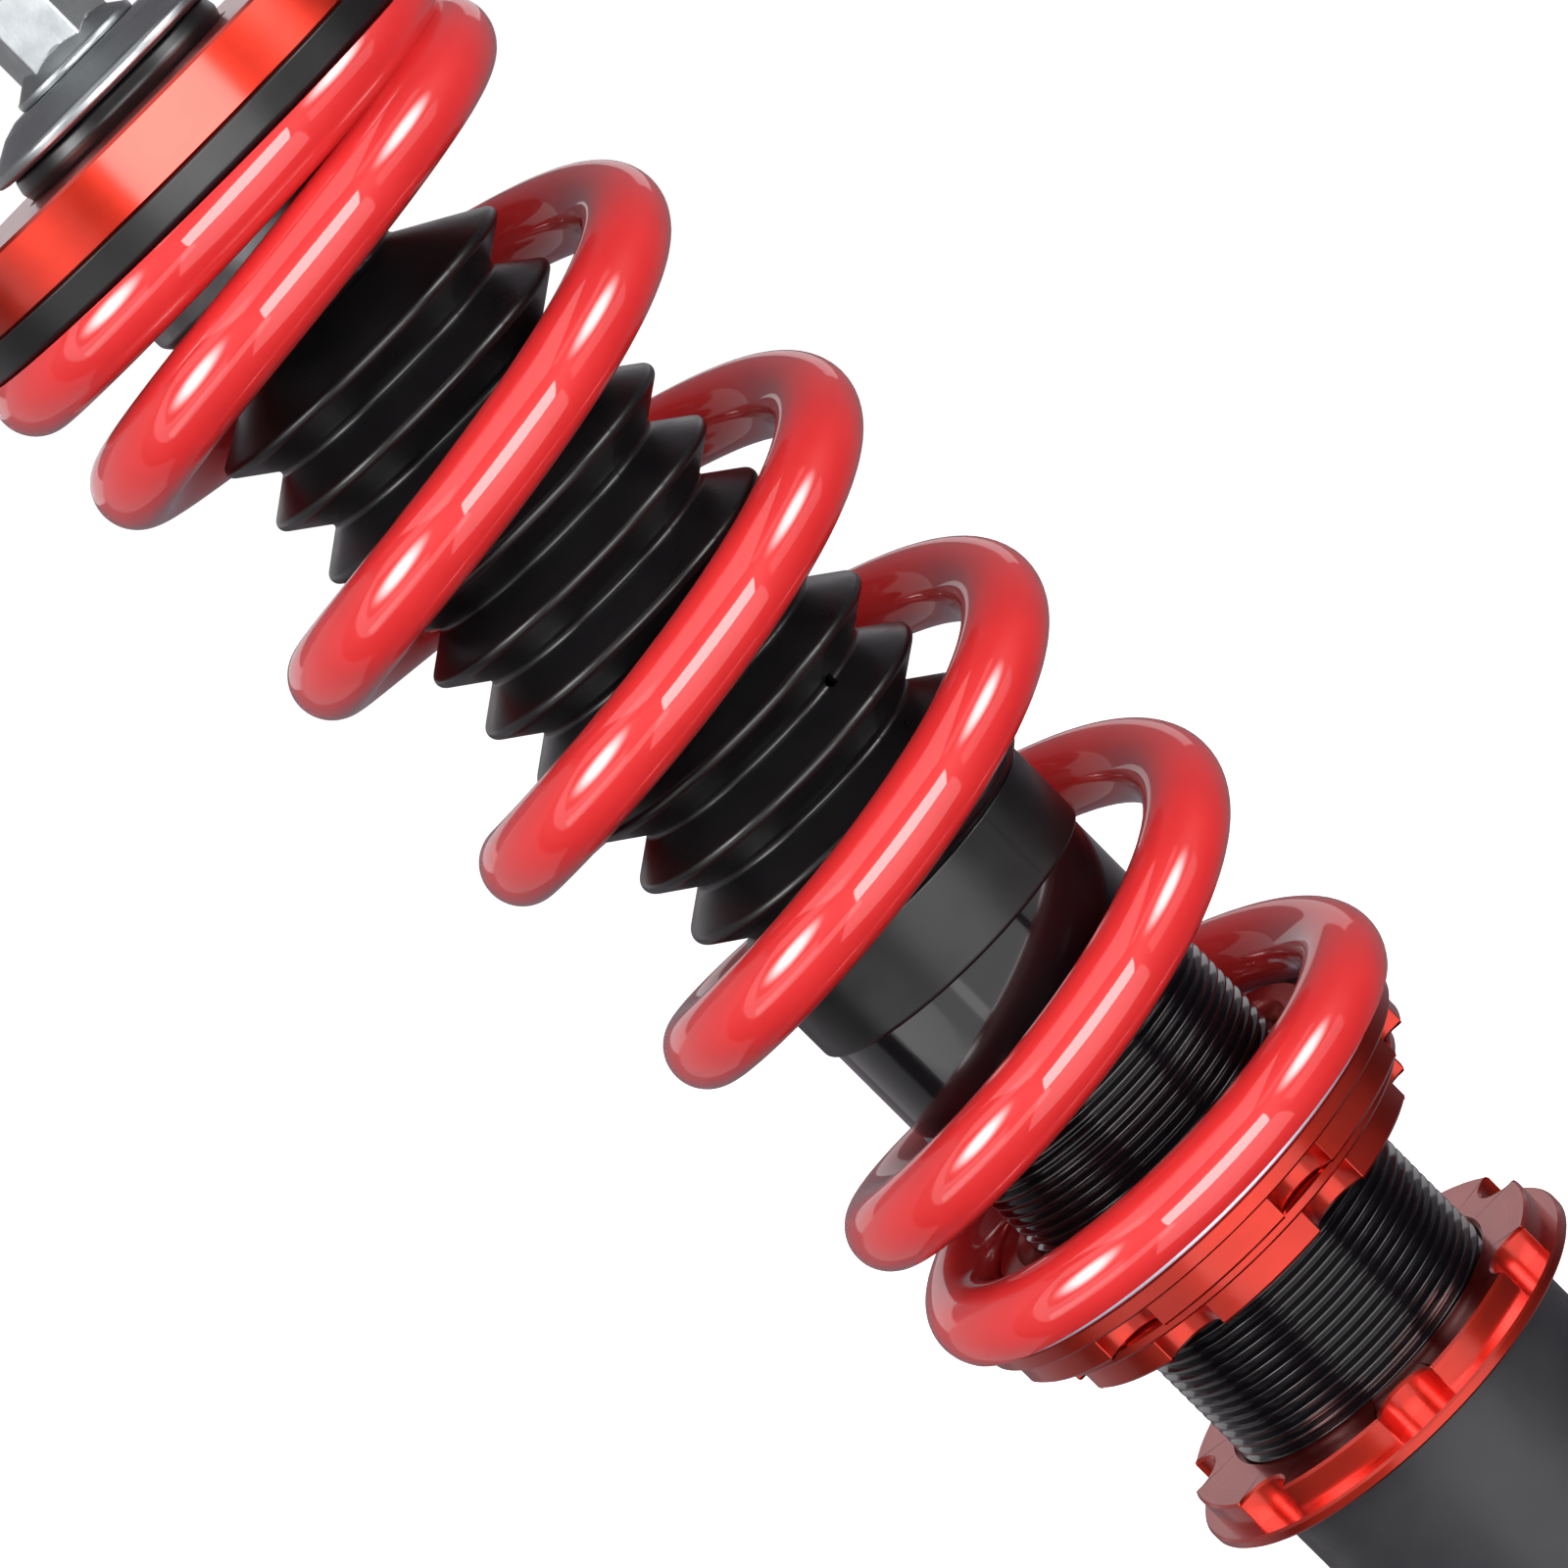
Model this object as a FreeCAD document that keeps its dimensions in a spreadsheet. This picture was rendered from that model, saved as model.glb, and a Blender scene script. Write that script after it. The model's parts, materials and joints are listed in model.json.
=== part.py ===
import FreeCAD, Part
import math
import os
import re

import Sketcher

# A coilover: a height-adjustable car suspension strut. A monotube damper screws into a
# lower bracket tube, a coil spring stands on a screwed perch around the damper, and the
# rod carries the upper spring seat between two rubber bushes.
# Frame: millimetres, +Z up along the damper, Y along the lower eye, origin at the eye's centre.

doc = FreeCAD.newDocument("Coilover")
sheet = doc.addObject("Spreadsheet::Sheet", "Sizes")

# Driving dimensions. Names that end in _z are heights above the eye's centre, names that
# end in _r are radii, and the rest are lengths, counts and angles in degrees.
SIZES = {
    # lower eye: forged lug, bonded rubber bush and inner steel sleeve
    "eye_r": 19.0,
    "eye_bore_r": 15.0,
    "eye_width": 34.0,
    "eye_neck_r": 25.0,
    "eye_neck_tip_r": 13.0,
    "eye_plug_r": 27.7,
    "eye_plug_top_z": 32.0,
    "eye_collar_height": 3.0,
    "eye_neck_foot_z": 5.0,
    "eye_bush_width": 37.0,
    "eye_sleeve_r": 8.2,
    "eye_sleeve_bore_r": 6.1,
    "eye_sleeve_width": 42.0,
    "running_gap": 0.05,
    "cut_margin": 10.0,
    # bracket tube
    "bracket_r": 30.75,
    "bracket_bore_r": 27.8,
    "bracket_foot_z": 22.0,
    "bracket_top_z": 140.0,
    "edge_chamfer": 0.6,
    # damper tube: M55 x 2 thread below a smooth upper end, with a 46 mm bore
    "thread_r": 27.5,
    "tube_r": 27.8,
    "tube_bore_r": 23.0,
    "tube_foot_z": 44.0,
    "thread_top_z": 227.2,
    "tube_top_z": 263.2,
    "bore_fit": 0.05,
    "end_cap_height": 10.0,
    "gas_plug_height": 9.0,
    "gas_plug_r": 4.0,
    "gas_plug_head_r": 6.0,
    "gas_plug_head_height": 2.5,
    # rod guide stack at the top of the damper tube
    "guide_foot_z": 240.0,
    "guide_top_z": 255.0,
    "guide_bore_r": 12.0,
    "seal_r": 16.5,
    "seal_foot_z": 249.5,
    "gland_bore_r": 13.5,
    "wiper_foot_z": 256.5,
    "wiper_top_z": 264.6,
    "wiper_lip": 1.0,
    "rod_gap": 0.05,
    # dust boot
    "boot_skirt_r": 29.0,
    "boot_skirt_foot_z": 247.6,
    "boot_skirt_top_z": 263.6,
    "boot_wall": 1.6,
    "boot_lip_r": 31.15,
    "boot_valley_r": 24.0,
    "boot_first_lip_z": 265.2,
    "boot_pitch": 12.1,
    "boot_lips": 11,
    "boot_neck_r": 15.8,
    "boot_neck_foot_z": 395.2,
    "boot_neck_top_z": 403.8,
    # floating gas piston
    "gas_piston_foot_z": 84.0,
    "gas_piston_top_z": 96.0,
    "gas_piston_r": 22.8,
    "gas_groove_r": 20.5,
    "gas_groove_foot_z": 88.0,
    "gas_groove_top_z": 92.0,
    # rod, damping piston and shims
    "rod_r": 10.0,
    "stud_r": 6.0,
    "rod_foot_z": 190.0,
    "rod_shoulder_z": 225.0,
    "rod_top_shoulder_z": 408.0,
    "stud_tip_r": 5.0,
    "stud_tip_foot_z": 467.0,
    "stud_top_z": 474.0,
    "stud_socket_r": 2.9,
    "stud_socket_depth": 7.0,
    "stud_fit": 0.05,
    "piston_foot_z": 208.0,
    "piston_top_z": 222.0,
    "piston_r": 22.4,
    "piston_groove_r": 21.3,
    "piston_groove_foot_z": 210.5,
    "piston_groove_top_z": 219.5,
    "port_r": 2.4,
    "port_circle_r": 14.0,
    "port_count": 6,
    "shim_count": 3,
    "shim_height": 1.0,
    "shim_r": 19.0,
    "shim_step_r": 3.0,
    "piston_nut_height": 12.0,
    "piston_nut_flats": 19.0,
    "rebound_stop_r": 14.5,
    "rebound_stop_foot_z": 231.0,
    "rebound_stop_top_z": 238.5,
    # bump stop and its cup
    "bump_r": 19.0,
    "bump_bore_r": 10.4,
    "bump_neck_r": 14.0,
    "bump_groove_r": 15.0,
    "bump_foot_z": 345.0,
    "bump_body_top_z": 390.0,
    "bump_waist": 3.0,
    "bump_ribs": 3,
    "cup_r": 23.5,
    "cup_foot_z": 404.0,
    "cup_floor_top_z": 412.0,
    "cup_bore_r": 18.0,
    "rubber_gap": 0.2,
    "soft_edge": 1.0,
    "sleeve_r": 9.8,
    # upper spring seat, isolator and upper bush
    "seat_r": 48.5,
    "seat_foot_z": 428.4,
    "seat_top_z": 438.9,
    "seat_bore_r": 10.1,
    "seat_recess_r": 22.2,
    "seat_recess_z": 438.5,
    "seat_pilot_r": 35.5,
    "seat_pilot_bore_r": 30.0,
    "seat_pilot_foot_z": 419.0,
    "isolator_foot_z": 422.7,
    "isolator_bore_r": 35.8,
    "bush_r": 21.7,
    "bush_foot_z": 438.6,
    "bush_shoulder_z": 443.3,
    "bush_top_z": 447.0,
    "bush_top_r": 15.0,
    # upper cup washer and flange nut
    "washer_top_z": 449.9,
    "washer_sheet": 2.5,
    "washer_flat_r": 17.0,
    "washer_r": 24.0,
    "washer_rim_z": 443.5,
    "washer_rim_height": 2.4,
    "nut_foot_z": 449.95,
    "nut_flange_r": 12.3,
    "nut_flange_height": 1.6,
    "nut_cone_height": 2.2,
    "nut_flats": 17.0,
    "nut_top_z": 465.5,
    "nut_turn": -11.4,
    # coil spring: closed and ground ends
    "spring_mean_r": 43.4,
    "wire_r": 7.25,
    "spring_foot_z": 194.7,
    "spring_top_z": 422.6,
    "spring_wire_foot_z": 195.93,
    "spring_foot_pitch": 3.0,
    "spring_foot_turns": 0.7222,
    "spring_pitch": 43.04,
    "spring_turns": 4.9167,
    "spring_head_pitch": 12.9,
    "spring_head_turns": 1.0,
    "spring_start_angle": 100.0,
    # screwed rings: spring perch, its lock ring and the bracket's lock ring
    "ring_bore_r": 27.7,
    "perch_r": 46.0,
    "perch_band_r": 44.1,
    "perch_foot_z": 184.9,
    "perch_band_top_z": 189.95,
    "perch_top_z": 193.1,
    "perch_pilot_r": 35.5,
    "perch_pilot_top_z": 199.0,
    "perch_pilot_bore_r": 30.0,
    "slip_washer_r": 46.5,
    "slip_washer_bore_r": 35.7,
    "slip_washer_foot_z": 193.2,
    "lock_r": 40.6,
    "lock_band_r": 38.0,
    "lock_flange_height": 2.25,
    "lock_height": 7.8,
    "perch_lock_foot_z": 176.9,
    "bracket_lock_foot_z": 140.15,
    "notch_count": 7,
    "notch_r": 6.2,
    "perch_notch_floor_r": 38.4,
    "lock_notch_floor_r": 33.0,
    "perch_turn": 15.5,
    "perch_lock_turn": 21.5,
    "bracket_lock_turn": -1.4,
}

NODES = []


def fill_sheet():
    """Writes every driving dimension as a named cell of the spreadsheet."""
    for row, (alias, number) in enumerate(SIZES.items(), start=1):
        sheet.set("A%d" % row, alias)
        sheet.set("B%d" % row, str(number))
        sheet.setAlias("B%d" % row, alias)
    doc.recompute()


def bound(expression):
    """Puts the spreadsheet's name before each alias of an expression."""
    return re.sub(r"[a-z][a-z_]+", lambda match: "Sizes." + match.group(0), expression)


def value(expression):
    """The number that an expression of aliases gives."""
    return float(sheet.evalExpression(bound(expression)))


def bind(thing, **expressions):
    """Binds properties of a document object to expressions of aliases."""
    for name, expression in expressions.items():
        thing.setExpression(name.replace("__", "."), bound(expression))


def node(thing, label):
    """Names an object as a sub-part to be written."""
    thing.Label = label
    NODES.append(thing)
    return thing


# ---------------------------------------------------------------- building helpers


def origin_feature(body, role):
    """One of a body's own origin planes or axes."""
    return next(item for item in body.Origin.OriginFeatures if item.Role == role)


def new_sketch(body, name, plane):
    sketch = body.newObject("Sketcher::SketchObject", name)
    sketch.AttachmentSupport = [(origin_feature(body, plane), "")]
    sketch.MapMode = "FlatFace"
    return sketch


def place_point(sketch, geometry, end, across, up):
    """Fixes one end of a sketch edge at two expressions, measured from the sketch's origin."""
    if across == "0":
        sketch.addConstraint(Sketcher.Constraint("PointOnObject", geometry, end, -2))
    else:
        index = sketch.addConstraint(
            Sketcher.Constraint("DistanceX", -1, 1, geometry, end, value(across))
        )
        sketch.setExpression("Constraints[%d]" % index, bound(across))
    index = sketch.addConstraint(
        Sketcher.Constraint("DistanceY", -1, 1, geometry, end, value(up))
    )
    sketch.setExpression("Constraints[%d]" % index, bound(up))


def draw_outline(sketch, outline):
    """A closed outline of straight edges through points given as pairs of expressions."""
    points = [FreeCAD.Vector(value(across), value(up), 0) for across, up in outline]
    count = len(points)
    for index in range(count):
        sketch.addGeometry(Part.LineSegment(points[index], points[(index + 1) % count]))
    for index in range(count):
        sketch.addConstraint(
            Sketcher.Constraint("Coincident", index, 2, (index + 1) % count, 1)
        )
    for index, (across, up) in enumerate(outline):
        place_point(sketch, index, 1, across, up)


def turned(label, outline):
    """A body turned about Z from an outline of (radius, height) expressions."""
    body = doc.addObject("PartDesign::Body", label)
    sketch = new_sketch(body, label + "_outline", "XZ_Plane")
    draw_outline(sketch, outline)
    revolution = body.newObject("PartDesign::Revolution", label + "_turning")
    revolution.Profile = sketch
    revolution.ReferenceAxis = (sketch, ["V_Axis"])
    revolution.Angle = 360
    return node(body, label)


def turned_ring(label, inner, outer, foot, top):
    """A turned ring of plain rectangular section."""
    return turned(label, [(inner, foot), (outer, foot), (outer, top), (inner, top)])


def cut_around(body, label, draw, middle, height, count):
    """Cuts a drawn shape through a height of a turned body and repeats it around Z."""
    sketch = new_sketch(body, label + "_sketch", "XY_Plane")
    sketch.setExpression(".AttachmentOffset.Base.z", bound(middle))
    draw(sketch)
    pocket = body.newObject("PartDesign::Pocket", label + "_pocket")
    pocket.Profile = sketch
    pocket.Midplane = True
    pocket.Length = value(height)
    pocket.setExpression("Length", bound(height))
    pattern = body.newObject("PartDesign::PolarPattern", label + "_pattern")
    pattern.Originals = [pocket]
    pattern.Axis = (origin_feature(body, "Z_Axis"), [""])
    pattern.Angle = 360
    pattern.Occurrences = int(value(count))
    pattern.setExpression("Occurrences", bound(count))
    body.Tip = pattern


def cylinder(name, radius, height, foot="0"):
    thing = doc.addObject("Part::Cylinder", name)
    bind(thing, Radius=radius, Height=height, Placement__Base__z=foot)
    return thing


def cross_cylinder(name, radius, width):
    """A cylinder along Y, centred on the origin."""
    thing = doc.addObject("Part::Cylinder", name)
    thing.Placement.Rotation = FreeCAD.Rotation(FreeCAD.Vector(1, 0, 0), 90)
    bind(thing, Radius=radius, Height=width, Placement__Base__y="(%s) / 2" % width)
    return thing


def fuse(name, pieces):
    thing = doc.addObject("Part::MultiFuse", name)
    thing.Shapes = pieces
    thing.Refine = True
    return thing


def cut(name, base, tool):
    thing = doc.addObject("Part::Cut", name)
    thing.Base = base
    thing.Tool = tool
    return thing


# ---------------------------------------------------------------- lower bracket


def make_eye_lug():
    """The forged lug: a plug in the bracket tube, a tapering neck and the eye."""
    plug = cylinder("lug_plug", "eye_plug_r", "eye_plug_top_z - bracket_foot_z", "bracket_foot_z")
    collar_foot = "bracket_foot_z - eye_collar_height"
    collar = cylinder("lug_collar", "bracket_r", "eye_collar_height", collar_foot)
    neck = doc.addObject("Part::Cone", "lug_neck")
    bind(
        neck,
        Radius1="eye_neck_tip_r",
        Radius2="eye_neck_r",
        Height=collar_foot + " - eye_neck_foot_z",
        Placement__Base__z="eye_neck_foot_z",
    )
    ring = cross_cylinder("lug_ring", "eye_r", "eye_width")
    bore = cross_cylinder("lug_bore", "eye_bore_r", "eye_width + cut_margin")
    solid = fuse("lug_solid", [plug, collar, neck, ring])
    node(cut("lug", solid, bore), "eye_lug")


def make_eye_bush():
    """The rubber bush pressed in the eye, with the steel sleeve through it."""
    rubber = cross_cylinder("eye_rubber", "eye_bore_r", "eye_bush_width")
    hole = cross_cylinder("eye_rubber_hole", "eye_sleeve_r + running_gap", "eye_sleeve_width")
    node(cut("eye_rubber_ring", rubber, hole), "eye_bush")
    steel = cross_cylinder("eye_steel", "eye_sleeve_r", "eye_sleeve_width")
    bore = cross_cylinder("eye_steel_bore", "eye_sleeve_bore_r", "eye_sleeve_width + cut_margin")
    node(cut("eye_steel_tube", steel, bore), "eye_sleeve")


def make_bracket():
    make_eye_lug()
    make_eye_bush()
    turned(
        "bracket_tube",
        [
            ("bracket_bore_r", "bracket_foot_z"),
            ("bracket_r", "bracket_foot_z"),
            ("bracket_r", "bracket_top_z - edge_chamfer"),
            ("bracket_r - edge_chamfer", "bracket_top_z"),
            ("bracket_bore_r", "bracket_top_z"),
        ],
    )


# ---------------------------------------------------------------- damper tube and gland


def make_damper_tube():
    turned(
        "damper_tube",
        [
            ("tube_bore_r", "tube_foot_z"),
            ("thread_r - edge_chamfer", "tube_foot_z"),
            ("thread_r", "tube_foot_z + edge_chamfer"),
            ("thread_r", "thread_top_z"),
            ("tube_r", "thread_top_z"),
            ("tube_r", "tube_top_z - edge_chamfer"),
            ("tube_r - edge_chamfer", "tube_top_z"),
            ("tube_bore_r", "tube_top_z"),
        ],
    )
    turned_ring(
        "end_cap",
        "gas_plug_r",
        "tube_bore_r - bore_fit",
        "tube_foot_z",
        "tube_foot_z + end_cap_height",
    )
    turned(
        "gas_valve_plug",
        [
            ("0", "tube_foot_z - gas_plug_head_height"),
            ("gas_plug_head_r", "tube_foot_z - gas_plug_head_height"),
            ("gas_plug_head_r", "tube_foot_z"),
            ("gas_plug_r", "tube_foot_z"),
            ("gas_plug_r", "tube_foot_z + gas_plug_height"),
            ("0", "tube_foot_z + gas_plug_height"),
        ],
    )


def make_gland():
    """Rod guide with its bush and seal, the screwed gland nut and the wiper."""
    turned(
        "rod_guide",
        [
            ("guide_bore_r", "guide_foot_z"),
            ("tube_bore_r - bore_fit", "guide_foot_z"),
            ("tube_bore_r - bore_fit", "guide_top_z"),
            ("seal_r", "guide_top_z"),
            ("seal_r", "seal_foot_z"),
            ("guide_bore_r", "seal_foot_z"),
        ],
    )
    turned_ring("guide_bush", "rod_r + rod_gap", "guide_bore_r", "guide_foot_z", "seal_foot_z")
    turned_ring("rod_seal", "rod_r + rod_gap", "seal_r", "seal_foot_z", "guide_top_z")
    turned(
        "gland_nut",
        [
            ("gland_bore_r", "guide_top_z"),
            ("tube_bore_r - bore_fit", "guide_top_z"),
            ("tube_bore_r - bore_fit", "tube_top_z"),
            ("gland_bore_r + edge_chamfer", "tube_top_z"),
            ("gland_bore_r", "tube_top_z - edge_chamfer"),
        ],
    )
    turned(
        "wiper_seal",
        [
            ("rod_r + wiper_lip", "wiper_foot_z"),
            ("gland_bore_r", "wiper_foot_z"),
            ("gland_bore_r", "tube_top_z - edge_chamfer"),
            ("rod_r + 2 * wiper_lip", "wiper_top_z"),
            ("rod_r + rod_gap", "wiper_top_z"),
        ],
    )


def bellows(first_radius, valley_radius, lips):
    """Outline points of a bellows from its lowest lip to its highest."""
    points = []
    for lip in range(lips):
        points.append((first_radius, "boot_first_lip_z + %d * boot_pitch" % lip))
        if lip < lips - 1:
            points.append((valley_radius, "boot_first_lip_z + %d.5 * boot_pitch" % lip))
    return points


def make_dust_boot():
    """A moulded rubber bellows whose skirt grips the tube and whose neck grips the bump stop."""
    lips = int(value("boot_lips"))
    outside = bellows("boot_lip_r", "boot_valley_r", lips)
    inside = bellows("boot_lip_r - boot_wall", "boot_valley_r - boot_wall", lips)
    outline = [
        ("tube_r + rubber_gap", "boot_skirt_foot_z"),
        ("boot_skirt_r - edge_chamfer", "boot_skirt_foot_z"),
        ("boot_skirt_r", "boot_skirt_foot_z + edge_chamfer"),
        ("boot_skirt_r", "boot_skirt_top_z"),
    ]
    outline += outside
    outline += [
        ("boot_neck_r", "boot_neck_foot_z"),
        ("boot_neck_r", "boot_neck_top_z"),
        ("bump_neck_r + rubber_gap", "boot_neck_top_z"),
        ("bump_neck_r + rubber_gap", "boot_neck_foot_z - boot_wall / 2"),
    ]
    outline += reversed(inside)
    outline.append(("tube_r + rubber_gap", "boot_skirt_top_z"))
    turned("dust_boot", outline)


# ---------------------------------------------------------------- floating gas piston


def make_gas_piston():
    turned(
        "floating_piston",
        [
            ("0", "gas_piston_foot_z"),
            ("gas_piston_r", "gas_piston_foot_z"),
            ("gas_piston_r", "gas_groove_foot_z"),
            ("gas_groove_r", "gas_groove_foot_z"),
            ("gas_groove_r", "gas_groove_top_z"),
            ("gas_piston_r", "gas_groove_top_z"),
            ("gas_piston_r", "gas_piston_top_z"),
            ("0", "gas_piston_top_z"),
        ],
    )
    turned_ring(
        "floating_piston_ring",
        "gas_groove_r + bore_fit",
        "tube_bore_r - bore_fit",
        "gas_groove_foot_z + bore_fit",
        "gas_groove_top_z - bore_fit",
    )


# ---------------------------------------------------------------- rod and damping piston


def hexagon(name, flats, height, foot):
    """A hexagonal prism, given across its flats."""
    prism = doc.addObject("Part::Prism", name)
    prism.Polygon = 6
    bind(
        prism,
        Circumradius="%s / 2 / %.9f" % (flats, math.cos(math.pi / 6)),
        Height=height,
        Placement__Base__z=foot,
    )
    return prism


def make_rod():
    """The plated rod: a short stud for the piston, and a long one through the upper mount."""
    shaft = turned(
        "rod_shaft",
        [
            ("0", "rod_foot_z"),
            ("stud_r", "rod_foot_z"),
            ("stud_r", "rod_shoulder_z"),
            ("rod_r", "rod_shoulder_z"),
            ("rod_r", "rod_top_shoulder_z"),
            ("stud_r", "rod_top_shoulder_z"),
            ("stud_r", "stud_tip_foot_z - edge_chamfer"),
            ("stud_tip_r", "stud_tip_foot_z"),
            ("stud_tip_r", "stud_top_z - edge_chamfer"),
            ("stud_tip_r - edge_chamfer", "stud_top_z"),
            ("0", "stud_top_z"),
        ],
    )
    NODES.remove(shaft)
    socket = hexagon(
        "stud_socket", "stud_socket_r * 2", "stud_socket_depth", "stud_top_z - stud_socket_depth"
    )
    node(cut("rod", shaft, socket), "piston_rod")


def draw_port(sketch):
    centre = FreeCAD.Vector(value("port_circle_r"), 0, 0)
    sketch.addGeometry(
        Part.Circle(centre, FreeCAD.Vector(0, 0, 1), value("port_r"))
    )
    sketch.addConstraint(Sketcher.Constraint("PointOnObject", 0, 3, -1))
    index = sketch.addConstraint(
        Sketcher.Constraint("DistanceX", -1, 1, 0, 3, value("port_circle_r"))
    )
    sketch.setExpression("Constraints[%d]" % index, bound("port_circle_r"))
    index = sketch.addConstraint(Sketcher.Constraint("Radius", 0, value("port_r")))
    sketch.setExpression("Constraints[%d]" % index, bound("port_r"))


def make_piston():
    """The ported damping piston and the low-friction band in its groove."""
    piston = turned(
        "damper_piston",
        [
            ("stud_r + stud_fit", "piston_foot_z"),
            ("piston_r", "piston_foot_z"),
            ("piston_r", "piston_groove_foot_z"),
            ("piston_groove_r", "piston_groove_foot_z"),
            ("piston_groove_r", "piston_groove_top_z"),
            ("piston_r", "piston_groove_top_z"),
            ("piston_r", "piston_top_z"),
            ("stud_r + stud_fit", "piston_top_z"),
        ],
    )
    cut_around(
        piston,
        "port",
        draw_port,
        "(piston_foot_z + piston_top_z) / 2",
        "piston_top_z - piston_foot_z + bore_fit",
        "port_count",
    )
    turned_ring(
        "piston_band",
        "piston_groove_r + bore_fit",
        "tube_bore_r - bore_fit",
        "piston_groove_foot_z + bore_fit",
        "piston_groove_top_z - bore_fit",
    )


def make_shims(label, start, direction):
    """Thin discs on the rod, each smaller than the one nearer the piston."""
    discs = []
    for step in range(int(value("shim_count"))):
        foot = "%s + shim_height * %d" % (start, direction * step - (direction < 0))
        disc = cylinder("%s_disc" % label, "shim_r - shim_step_r * %d" % step, "shim_height", foot)
        hole = cylinder("%s_hole" % label, "stud_r + stud_fit", "shim_height", foot)
        discs.append(cut("%s_shim" % label, disc, hole))
    stack = doc.addObject("Part::Compound", label + "_stack")
    stack.Links = discs
    node(stack, label)


def make_piston_nut():
    foot = "piston_foot_z - shim_count * shim_height - piston_nut_height"
    body = hexagon("piston_nut_hex", "piston_nut_flats", "piston_nut_height", foot)
    hole = cylinder("piston_nut_hole", "stud_r + stud_fit", "piston_nut_height", foot)
    node(cut("piston_nut_cut", body, hole), "piston_nut")


# ---------------------------------------------------------------- bump stop and upper mount


def make_bump_stop():
    """A ribbed foam stop round the rod; its neck is held in the dust boot's neck."""
    rib = "(bump_body_top_z - bump_foot_z) / bump_ribs"
    outline = [("bump_bore_r", "bump_foot_z")]
    outline.append(("bump_groove_r", "bump_foot_z"))
    for below in range(1, int(value("bump_ribs"))):
        waist = "bump_foot_z + %d * %s" % (below, rib)
        outline.append(("bump_r", "%s - %s / 2" % (waist, rib)))
        outline.append(("bump_r", "%s - bump_waist" % waist))
        outline.append(("bump_groove_r", waist))
        outline.append(("bump_r", "%s + bump_waist" % waist))
    outline += [
        ("bump_r", "bump_body_top_z"),
        ("bump_neck_r", "bump_body_top_z + bump_waist"),
        ("bump_neck_r", "boot_neck_top_z"),
        ("bump_bore_r", "boot_neck_top_z"),
    ]
    turned("bump_stop", outline)


def make_lower_mount():
    """Below the seat: the plated cup on the rod's shoulder, its rubber bush and the sleeve."""
    turned(
        "bump_cup",
        [
            ("rod_r + rod_gap", "cup_foot_z"),
            ("cup_r - soft_edge", "cup_foot_z"),
            ("cup_r", "cup_foot_z + soft_edge"),
            ("cup_r", "seat_foot_z - rubber_gap"),
            ("cup_bore_r", "seat_foot_z - rubber_gap"),
            ("cup_bore_r", "cup_floor_top_z"),
            ("stud_r + stud_fit", "cup_floor_top_z"),
            ("stud_r + stud_fit", "rod_top_shoulder_z"),
            ("rod_r + rod_gap", "rod_top_shoulder_z"),
        ],
    )
    turned_ring(
        "lower_bush",
        "sleeve_r + rubber_gap",
        "cup_bore_r - rubber_gap",
        "cup_floor_top_z",
        "seat_foot_z - rubber_gap",
    )
    turned_ring(
        "centre_sleeve",
        "stud_r + stud_fit",
        "sleeve_r",
        "cup_floor_top_z",
        "washer_top_z - washer_sheet",
    )


def make_upper_seat():
    turned(
        "upper_spring_seat",
        [
            ("seat_bore_r", "seat_foot_z"),
            ("seat_pilot_bore_r", "seat_foot_z"),
            ("seat_pilot_bore_r", "seat_pilot_foot_z"),
            ("seat_pilot_r - edge_chamfer", "seat_pilot_foot_z"),
            ("seat_pilot_r", "seat_pilot_foot_z + edge_chamfer"),
            ("seat_pilot_r", "seat_foot_z"),
            ("seat_r", "seat_foot_z"),
            ("seat_r", "seat_top_z - edge_chamfer"),
            ("seat_r - edge_chamfer", "seat_top_z"),
            ("seat_recess_r", "seat_top_z"),
            ("seat_recess_r", "seat_recess_z"),
            ("seat_bore_r", "seat_recess_z"),
        ],
    )
    turned_ring(
        "spring_isolator", "isolator_bore_r", "seat_r", "isolator_foot_z", "seat_foot_z"
    )


def make_top_hardware():
    """Above the seat: the upper bush, its dished washer and the flange nut."""
    turned(
        "upper_bush",
        [
            ("sleeve_r + rubber_gap", "bush_foot_z"),
            ("bush_r - soft_edge", "bush_foot_z"),
            ("bush_r", "bush_foot_z + soft_edge"),
            ("bush_r", "bush_shoulder_z - soft_edge"),
            ("bush_r - soft_edge", "bush_shoulder_z"),
            ("bush_top_r", "bush_top_z"),
            ("sleeve_r + rubber_gap", "bush_top_z"),
        ],
    )
    turned(
        "upper_cup_washer",
        [
            ("stud_r + stud_fit", "washer_top_z - washer_sheet"),
            ("washer_flat_r - soft_edge", "washer_top_z - washer_sheet"),
            ("washer_r - washer_sheet", "washer_rim_z"),
            ("washer_r - edge_chamfer", "washer_rim_z"),
            ("washer_r", "washer_rim_z + edge_chamfer"),
            ("washer_r", "washer_rim_z + washer_rim_height - edge_chamfer"),
            ("washer_r - edge_chamfer", "washer_rim_z + washer_rim_height"),
            ("washer_flat_r + soft_edge", "washer_top_z - edge_chamfer"),
            ("washer_flat_r", "washer_top_z"),
            ("stud_r + stud_fit", "washer_top_z"),
        ],
    )


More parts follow.
